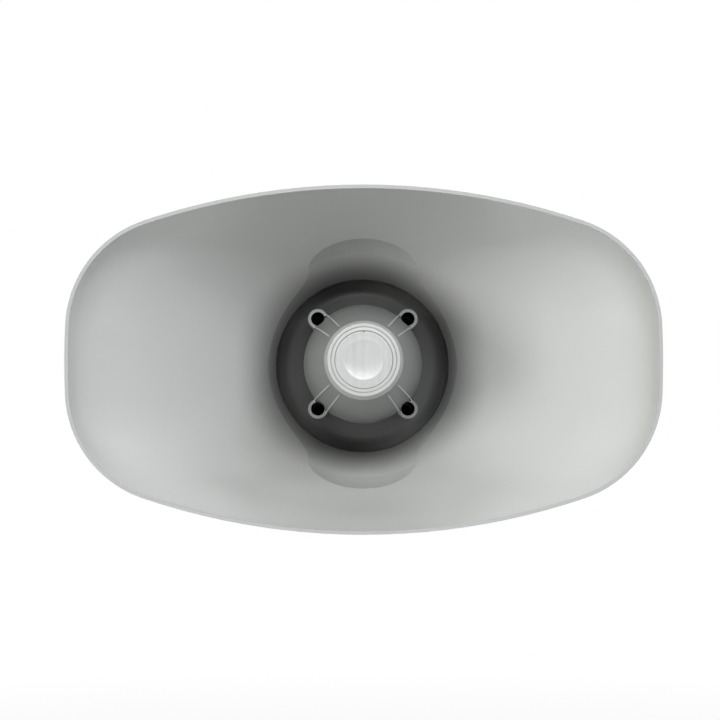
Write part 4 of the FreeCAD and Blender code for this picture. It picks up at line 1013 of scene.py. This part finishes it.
@dataclass
class CableGland:
    """Domed gland nut with grip ribs.

    Attributes:
        fitter: Makes the pieces.
        ribs: How many ribs it has.
        rib_depth: Depth of the flutes between them.
        flute_power: Power of the wave that they follow; above 1 it makes them narrower.
        run_in: How far from the mouth they start, and the length over which they deepen.
        run_out: The same, counted from the tip.
        dome: Height of the dome, as a share of the nut's radius.
        tip: Radius of the dome's tip, as such a share.
        dome_bow: Bow of the dome.
        chamfer: Width of the chamfers.
        thread: Radius of the threaded bore.
        cable_hole: Radius of the hole for the cable.
        web: Distance from the mouth to the end of the thread.
        bands: Rings of faces along the barrel.
        steps: Steps of the turned form.
    """

    fitter: Fitter
    ribs: int = 14
    rib_depth: float = 0.75
    flute_power: float = 1.6
    run_in: Point = (0.6, 1.2)
    run_out: Point = (2.5, 3.0)
    dome: float = 0.5
    tip: float = 0.65
    dome_bow: float = 0.17
    chamfer: float = 0.4
    thread: float = 8.05
    cable_hole: float = 4.4
    web: float = 11.0
    bands: int = 10
    steps: int = 168

    def build(self) -> None:
        """Make the nut."""
        low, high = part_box("gland_nut")
        centre = Vector(((low.x + high.x) / 2, (low.y + high.y) / 2, high.z))
        radius = (high.x - low.x) / 2 / MILLIMETRE
        length = (high.z - low.z) / MILLIMETRE
        turning = Turning(centre, Vector((0.0, 0.0, -1.0)), Vector((1.0, 0.0, 0.0)))
        shoulder = length - radius * self.dome
        tip = radius * self.tip
        edge, hole, thread = self.chamfer, self.cable_hole, self.thread
        barrel = [edge + (shoulder - edge) * index / self.bands for index in range(self.bands + 1)]
        outline = [(radius - edge, 0.0)] + [(radius, along) for along in barrel]
        outline += arc((radius, shoulder), (tip, length), self.dome_bow, steps=8)
        outline += [(hole + edge, length), (hole, length - edge), (hole, self.web)]
        outline += [(thread, self.web), (thread, edge), (thread + edge, 0.0)]
        turning.spin(outline, self.steps)

        def share(along: float, run: Point) -> float:
            """How deep the flutes are at a distance from an end, as a share."""
            return max(0.0, min(1.0, (along - run[0]) / run[1]))

        def flute(angle: float, here: float, along: float) -> float:
            """Cut the flutes into the barrel, fading out over the dome.

            Args:
                angle: Angle in radians.
                here: Radius.
                along: Distance from the mouth.

            Returns:
                The new radius.
            """
            if here < tip:
                return here
            fade = share(along, self.run_in) * share(length - along, self.run_out)
            wave = 0.5 - 0.5 * math.cos(self.ribs * angle)
            return here - self.rib_depth * fade * wave**self.flute_power

        turning.shape(flute)
        self.fitter.fit("gland_nut_ribbed", [turning.form], Slot.GLAND_PLASTIC, Body.HORN, "gland_nut")


@dataclass
class HingeHardware:
    """Hexagon bolts and split spring washers on both sides of the bracket.

    Attributes:
        fitter: Makes the pieces.
        corner: Radius of the hexagon's corners.
        head_top: Points of the head's dent and flat top: radius as a share of the hexagon's
            inner radius, and height from the top.
        slope: Angle in degrees of the chamfer around the top.
        head_edge: Height over the seat of the chamfer's start at the corners.
        head_seat: Points of that chamfer's end and of the seat: radius as such a share, and
            height over the seat.
        round_core: Radius that the hexagon leaves round, as such a share.
        shank: Radius and length of the shank, and the chamfer of its tip.
        neck: How far the neck stands out from the shank, and its height.
        washer_bore: Bore radius of the spring washer.
        washer_edge: Chamfer of its wire.
        climb: How far its ends stand apart along the axis.
        split: Angle in degrees that its split leaves open.
        steps: Steps of the turned bolt and of the washer.
    """

    fitter: Fitter
    corner: float = 7.5
    head_top: tuple[Point, ...] = ((0.0, -0.25), (0.62, -0.25), (0.7, 0.0), (0.96, 0.0))
    slope: float = 30.0
    head_edge: float = 0.5
    head_seat: tuple[Point, ...] = ((0.97, 0.35), (0.95, 0.0))
    round_core: float = 0.9
    shank: tuple[float, float, float] = (4.0, 17.5, 0.8)
    neck: Point = (0.2, 0.3)
    washer_bore: float = 4.3
    washer_edge: float = 0.25
    climb: float = 0.22
    split: float = 11.0
    steps: tuple[int, int] = (96, 64)

    def build(self) -> None:
        """Make the bolts and the washers."""
        bolts = [self._bolt(side) for side in (1.0, -1.0)]
        self.fitter.fit("hinge_bolts_hex", bolts, Slot.PLATED_SCREW, Body.HORN, "hinge_bolts")
        washers = [self._washer(side) for side in (1.0, -1.0)]
        self.fitter.fit("spring_washers_split", washers, Slot.PLATED_SCREW, Body.HORN, "spring_washers")

    def _hinge(self, node: str, side: float) -> tuple[Turning, float]:
        """Start a turning about the hinge axis at a node's inner end.

        Args:
            node: The pair of solids it stands for.
            side: 1 on the right and -1 on the left.

        Returns:
            The turning, whose axis points outwards, and the place of its outer end.
        """
        low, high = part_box(node)
        centre = Vector((0.0, (low.y + high.y) / 2, (low.z + high.z) / 2))
        return Turning(centre, Vector((side, 0.0, 0.0)), Vector((0.0, 0.0, 1.0))), high.x / MILLIMETRE

    def _bolt(self, side: float) -> bmesh.types.BMesh:
        """Form one bolt: chamfered hexagon head, neck and shank with a chamfered tip.

        Args:
            side: 1 on the right and -1 on the left.

        Returns:
            The bolt's form.
        """
        turning, top = self._hinge("hinge_bolts", side)
        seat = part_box("spring_washers")[1].x / MILLIMETRE
        corner = self.corner
        flat = corner * math.cos(math.pi / 6)
        crown = flat * self.head_top[-1][0]
        drop = (corner - crown) * math.tan(math.radians(self.slope))
        radius, length, chamfer = self.shank
        tip = seat - length
        outline = [(flat * share, top + rise) for share, rise in self.head_top]
        outline += arc((crown, top), (corner, top - drop), 0.0, steps=6)
        outline += [(corner, seat + self.head_edge)]
        outline += [(flat * share, seat + rise) for share, rise in self.head_seat]
        outline += [(radius + self.neck[0], seat), (radius, seat + self.neck[1])]
        outline += [(radius, tip + chamfer), (radius - chamfer, tip), (0.0, tip)]
        turning.spin(outline, self.steps[0])

        def hexagon(angle: float, here: float, along: float) -> float:
            """Bring the head's points in to the hexagon.

            Args:
                angle: Angle in radians from a flat's middle.
                here: Radius.
                along: Distance along the axis.

            Returns:
                The new radius.
            """
            if along < seat or here <= flat * self.round_core:
                return here
            third = math.pi / 3
            lean = (angle + third / 2) % third - third / 2
            return min(here, flat / math.cos(lean))

        turning.shape(hexagon)
        return turning.form

    def _washer(self, side: float) -> bmesh.types.BMesh:
        """Form one split washer: a square wire on a slight helix.

        Args:
            side: 1 on the right and -1 on the left.

        Returns:
            The washer's form.
        """
        turning, outer = self._hinge("spring_washers", side)
        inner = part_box("flat_washers")[1].x / MILLIMETRE
        low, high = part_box("spring_washers")
        radius = (high.y - low.y) / 2 / MILLIMETRE
        top = inner + (outer - inner - self.climb)
        turning.across = Matrix.Rotation(math.radians(self.split / 2), 3, turning.axis) @ turning.across
        bore, edge = self.washer_bore, self.washer_edge
        outline = [(bore + edge, inner), (radius - edge, inner), (radius, inner + edge)]
        outline += [(radius, top - edge), (radius - edge, top)]
        outline += [(bore + edge, top), (bore, top - edge), (bore, inner + edge)]
        turning.spin(outline, self.steps[1], FULL_TURN - self.split, self.climb)
        return turning.form


COOL = (0.98, 0.99, 1.02)
WARM = (1.0, 1.0, 0.95)


@dataclass(frozen=True)
class Lamp:
    """A soft square lamp that faces the mouth from a place on a sphere around it.

    Attributes:
        tilt: Angle in degrees between the lamp's direction and straight out of the mouth.
        clock: Angle in degrees from the top, clockwise as the mouth is seen.
        power: Power in watts.
        tint: Colour of its light.
    """

    tilt: float
    clock: float
    power: float
    tint: Colour = (1.0, 1.0, 1.0)

    def direction(self) -> Vector:
        """Find where the lamp is.

        Returns:
            Direction from the mouth to the lamp, of length 1.
        """
        tilt, clock = math.radians(self.tilt), math.radians(self.clock)
        reach = math.sin(tilt)
        return Vector((reach * math.sin(clock), -math.cos(tilt), reach * math.cos(clock)))


@dataclass
class Studio:
    """Floor, light and camera.

    Attributes:
        mouth: Centre of the mouth plane, which the camera looks at.
        floor_level: Height of the floor along Z.
        floor_reach: Half the floor's width.
        floor_grey: Brightness of the floor's paint.
        shade_reach: Where the floor's shadow starts to fade and where it is gone.
        shade_white: How white the floor shows there.
        camera_distance: From the camera to the mouth.
        camera_side: How far the camera stands to the right, in degrees; below 0 is to the left.
        camera_rise: How far the camera stands above the level, in degrees; below 0 is under it.
        pixel_size: Real width of one pixel at the mouth plane.
        frame_pixels: Width of the square frame in pixels.
        mouth_pixel: Where the mouth's centre lies in the frame.
        sensor: Width of the camera's sensor in millimetres.
        lamps: The lamps.
        lamp_reach: From the mouth to each lamp.
        lamp_width: Width of each lamp.
        room_light: Strength of the even light around.
    """

    mouth: Vector
    floor_level: float = -0.45
    floor_reach: float = 14.0
    floor_grey: float = 0.55
    shade_reach: Point = (0.5, 1.6)
    shade_white: Point = (0.82, 1.0)
    camera_distance: float = 2.0
    camera_side: float = -0.45
    camera_rise: float = -1.8
    pixel_size: float = 0.8347 * MILLIMETRE
    frame_pixels: float = 720.0
    mouth_pixel: tuple[float, float] = (364.0, 359.25)
    sensor: float = 36.0
    lamp_reach: float = 2.2
    lamp_width: float = 0.9
    room_light: float = 0.03
    lamps: tuple[Lamp, ...] = (
        Lamp(18.0, 135.0, 2.0, COOL),
        Lamp(38.0, 45.0, 18.0, COOL),
        Lamp(28.0, 0.0, 12.0),
        Lamp(38.0, 180.0, 2.8),
        Lamp(38.0, 315.0, 11.0, WARM),
        Lamp(50.0, 270.0, 18.1, WARM),
        Lamp(75.0, 0.0, 8.7),
        Lamp(75.0, 45.0, 11.0, COOL),
        Lamp(75.0, 135.0, 4.1, COOL),
        Lamp(75.0, 180.0, 8.9),
        Lamp(75.0, 315.0, 3.1, WARM),
        Lamp(150.0, 40.0, 18.0),
        Lamp(150.0, 300.0, 12.6),
    )

    def build(self) -> None:
        """Set up the whole studio."""
        self._floor()
        self._world()
        for index, lamp in enumerate(self.lamps):
            self._lamp(f"lamp_{index}", lamp)
        self._camera()
        bpy.context.scene.view_settings.view_transform = "Standard"

    def _floor(self) -> None:
        """Lay the plain pale floor."""
        mesh = bpy.data.meshes.new("studio_floor")
        sheet = bmesh.new()
        bmesh.ops.create_grid(sheet, x_segments=1, y_segments=1, size=self.floor_reach)
        bmesh.ops.translate(sheet, verts=sheet.verts, vec=(0.0, 0.0, self.floor_level))
        sheet.to_mesh(mesh)
        sheet.free()
        floor = bpy.data.objects.new("studio_floor", mesh)
        bpy.context.scene.collection.objects.link(floor)
        mesh.materials.append(self._floor_paint())

    def _floor_paint(self) -> bpy.types.Material:
        """Pale matt paint that looks white, with a soft shadow near the horn only.

        Returns:
            The material.
        """
        material = bpy.data.materials.new("studio_floor")
        material.use_nodes = True
        graph = Graph(material.node_tree)
        paint = graph.add("ShaderNodeBsdfDiffuse")
        paint.inputs["Color"].default_value = (*[self.floor_grey] * 3, 1.0)
        glow = graph.add("ShaderNodeEmission")
        glow.inputs["Color"].default_value = WHITE
        away = graph.add("ShaderNodeVectorMath", operation="LENGTH")
        graph.join(graph.add("ShaderNodeTexCoord").outputs["Object"], away.inputs[0])
        ends = (*self.shade_reach, *self.shade_white)
        fade = graph.ramp(away.outputs["Value"], *ends, course="LINEAR")
        # Rays that gather light meet the paint; those that show the floor meet mostly its glow.
        path = graph.add("ShaderNodeLightPath").outputs
        seen = graph.maths("MAXIMUM", path["Is Camera Ray"], path["Is Glossy Ray"])
        seen = graph.maths("MAXIMUM", seen, path["Is Transmission Ray"])
        mixed = graph.add("ShaderNodeMixShader")
        surfaces = {1: paint.outputs["BSDF"], 2: glow.outputs["Emission"]}
        graph.fill(mixed.inputs, {"Fac": graph.maths("MULTIPLY", seen, fade), **surfaces})
        graph.show(mixed.outputs["Shader"])
        return material

    def _world(self) -> None:
        """Even pale surroundings: white to look at, dimmer as light."""
        world = bpy.data.worlds.new("studio")
        bpy.context.scene.world = world
        world.use_nodes = True
        graph = Graph(world.node_tree)
        backdrop = graph.add("ShaderNodeBackground")
        seen = graph.add("ShaderNodeLightPath").outputs["Is Camera Ray"]
        strength = graph.ramp(seen, low=self.room_light, course="LINEAR")
        graph.fill(backdrop.inputs, {"Color": WHITE, "Strength": strength})
        graph.show(backdrop.outputs["Background"], "ShaderNodeOutputWorld")

    def _lamp(self, name: str, lamp: Lamp) -> None:
        """Hang a lamp.

        Args:
            name: The lamp's name.
            lamp: Its place and power.
        """
        light = bpy.data.lights.new(name, "AREA")
        light.shape = "SQUARE"
        light.size = self.lamp_width
        light.energy = lamp.power
        light.color = lamp.tint
        holder = bpy.data.objects.new(name, light)
        away = lamp.direction()
        holder.location = self.mouth + away * self.lamp_reach
        holder.rotation_euler = (-away).to_track_quat("-Z", "Y").to_euler()
        bpy.context.scene.collection.objects.link(holder)

    def _camera(self) -> None:
        """Stand the camera where the picture was taken from."""
        side = math.radians(self.camera_side)
        rise = math.radians(self.camera_rise)
        away = Vector((math.sin(side) * math.cos(rise), -math.cos(side) * math.cos(rise), math.sin(rise)))
        data = bpy.data.cameras.new("camera")
        data.sensor_width = self.sensor
        data.lens = self.sensor * self.camera_distance / (self.pixel_size * self.frame_pixels)
        centre = self.frame_pixels / 2
        data.shift_x = (centre - self.mouth_pixel[0]) / self.frame_pixels
        data.shift_y = (self.mouth_pixel[1] - centre) / self.frame_pixels
        camera = bpy.data.objects.new("camera", data)
        camera.location = self.mouth + away * self.camera_distance
        camera.rotation_euler = (-away).to_track_quat("-Z", "Y").to_euler()
        bpy.context.scene.collection.objects.link(camera)
        bpy.context.scene.camera = camera


def main() -> None:
    """Load the frame, build and dress the horn, and set up the studio."""
    logging.basicConfig(level=logging.INFO, format="%(name)s: %(message)s")
    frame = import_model()
    wardrobe = Wardrobe()
    for name in PackedPieces(wardrobe).dress(frame):
        LOG.info("dressed %s", name)
    fitter = Fitter(wardrobe)
    NoseFittings(fitter).build()
    CableGland(fitter).build()
    HingeHardware(fitter).build()
    low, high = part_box("horn_bell")
    mouth = Vector(((low.x + high.x) / 2, low.y, (low.z + high.z) / 2))
    Studio(mouth).build()
    LOG.info("studio ready")


if __name__ == "__main__":
    main()
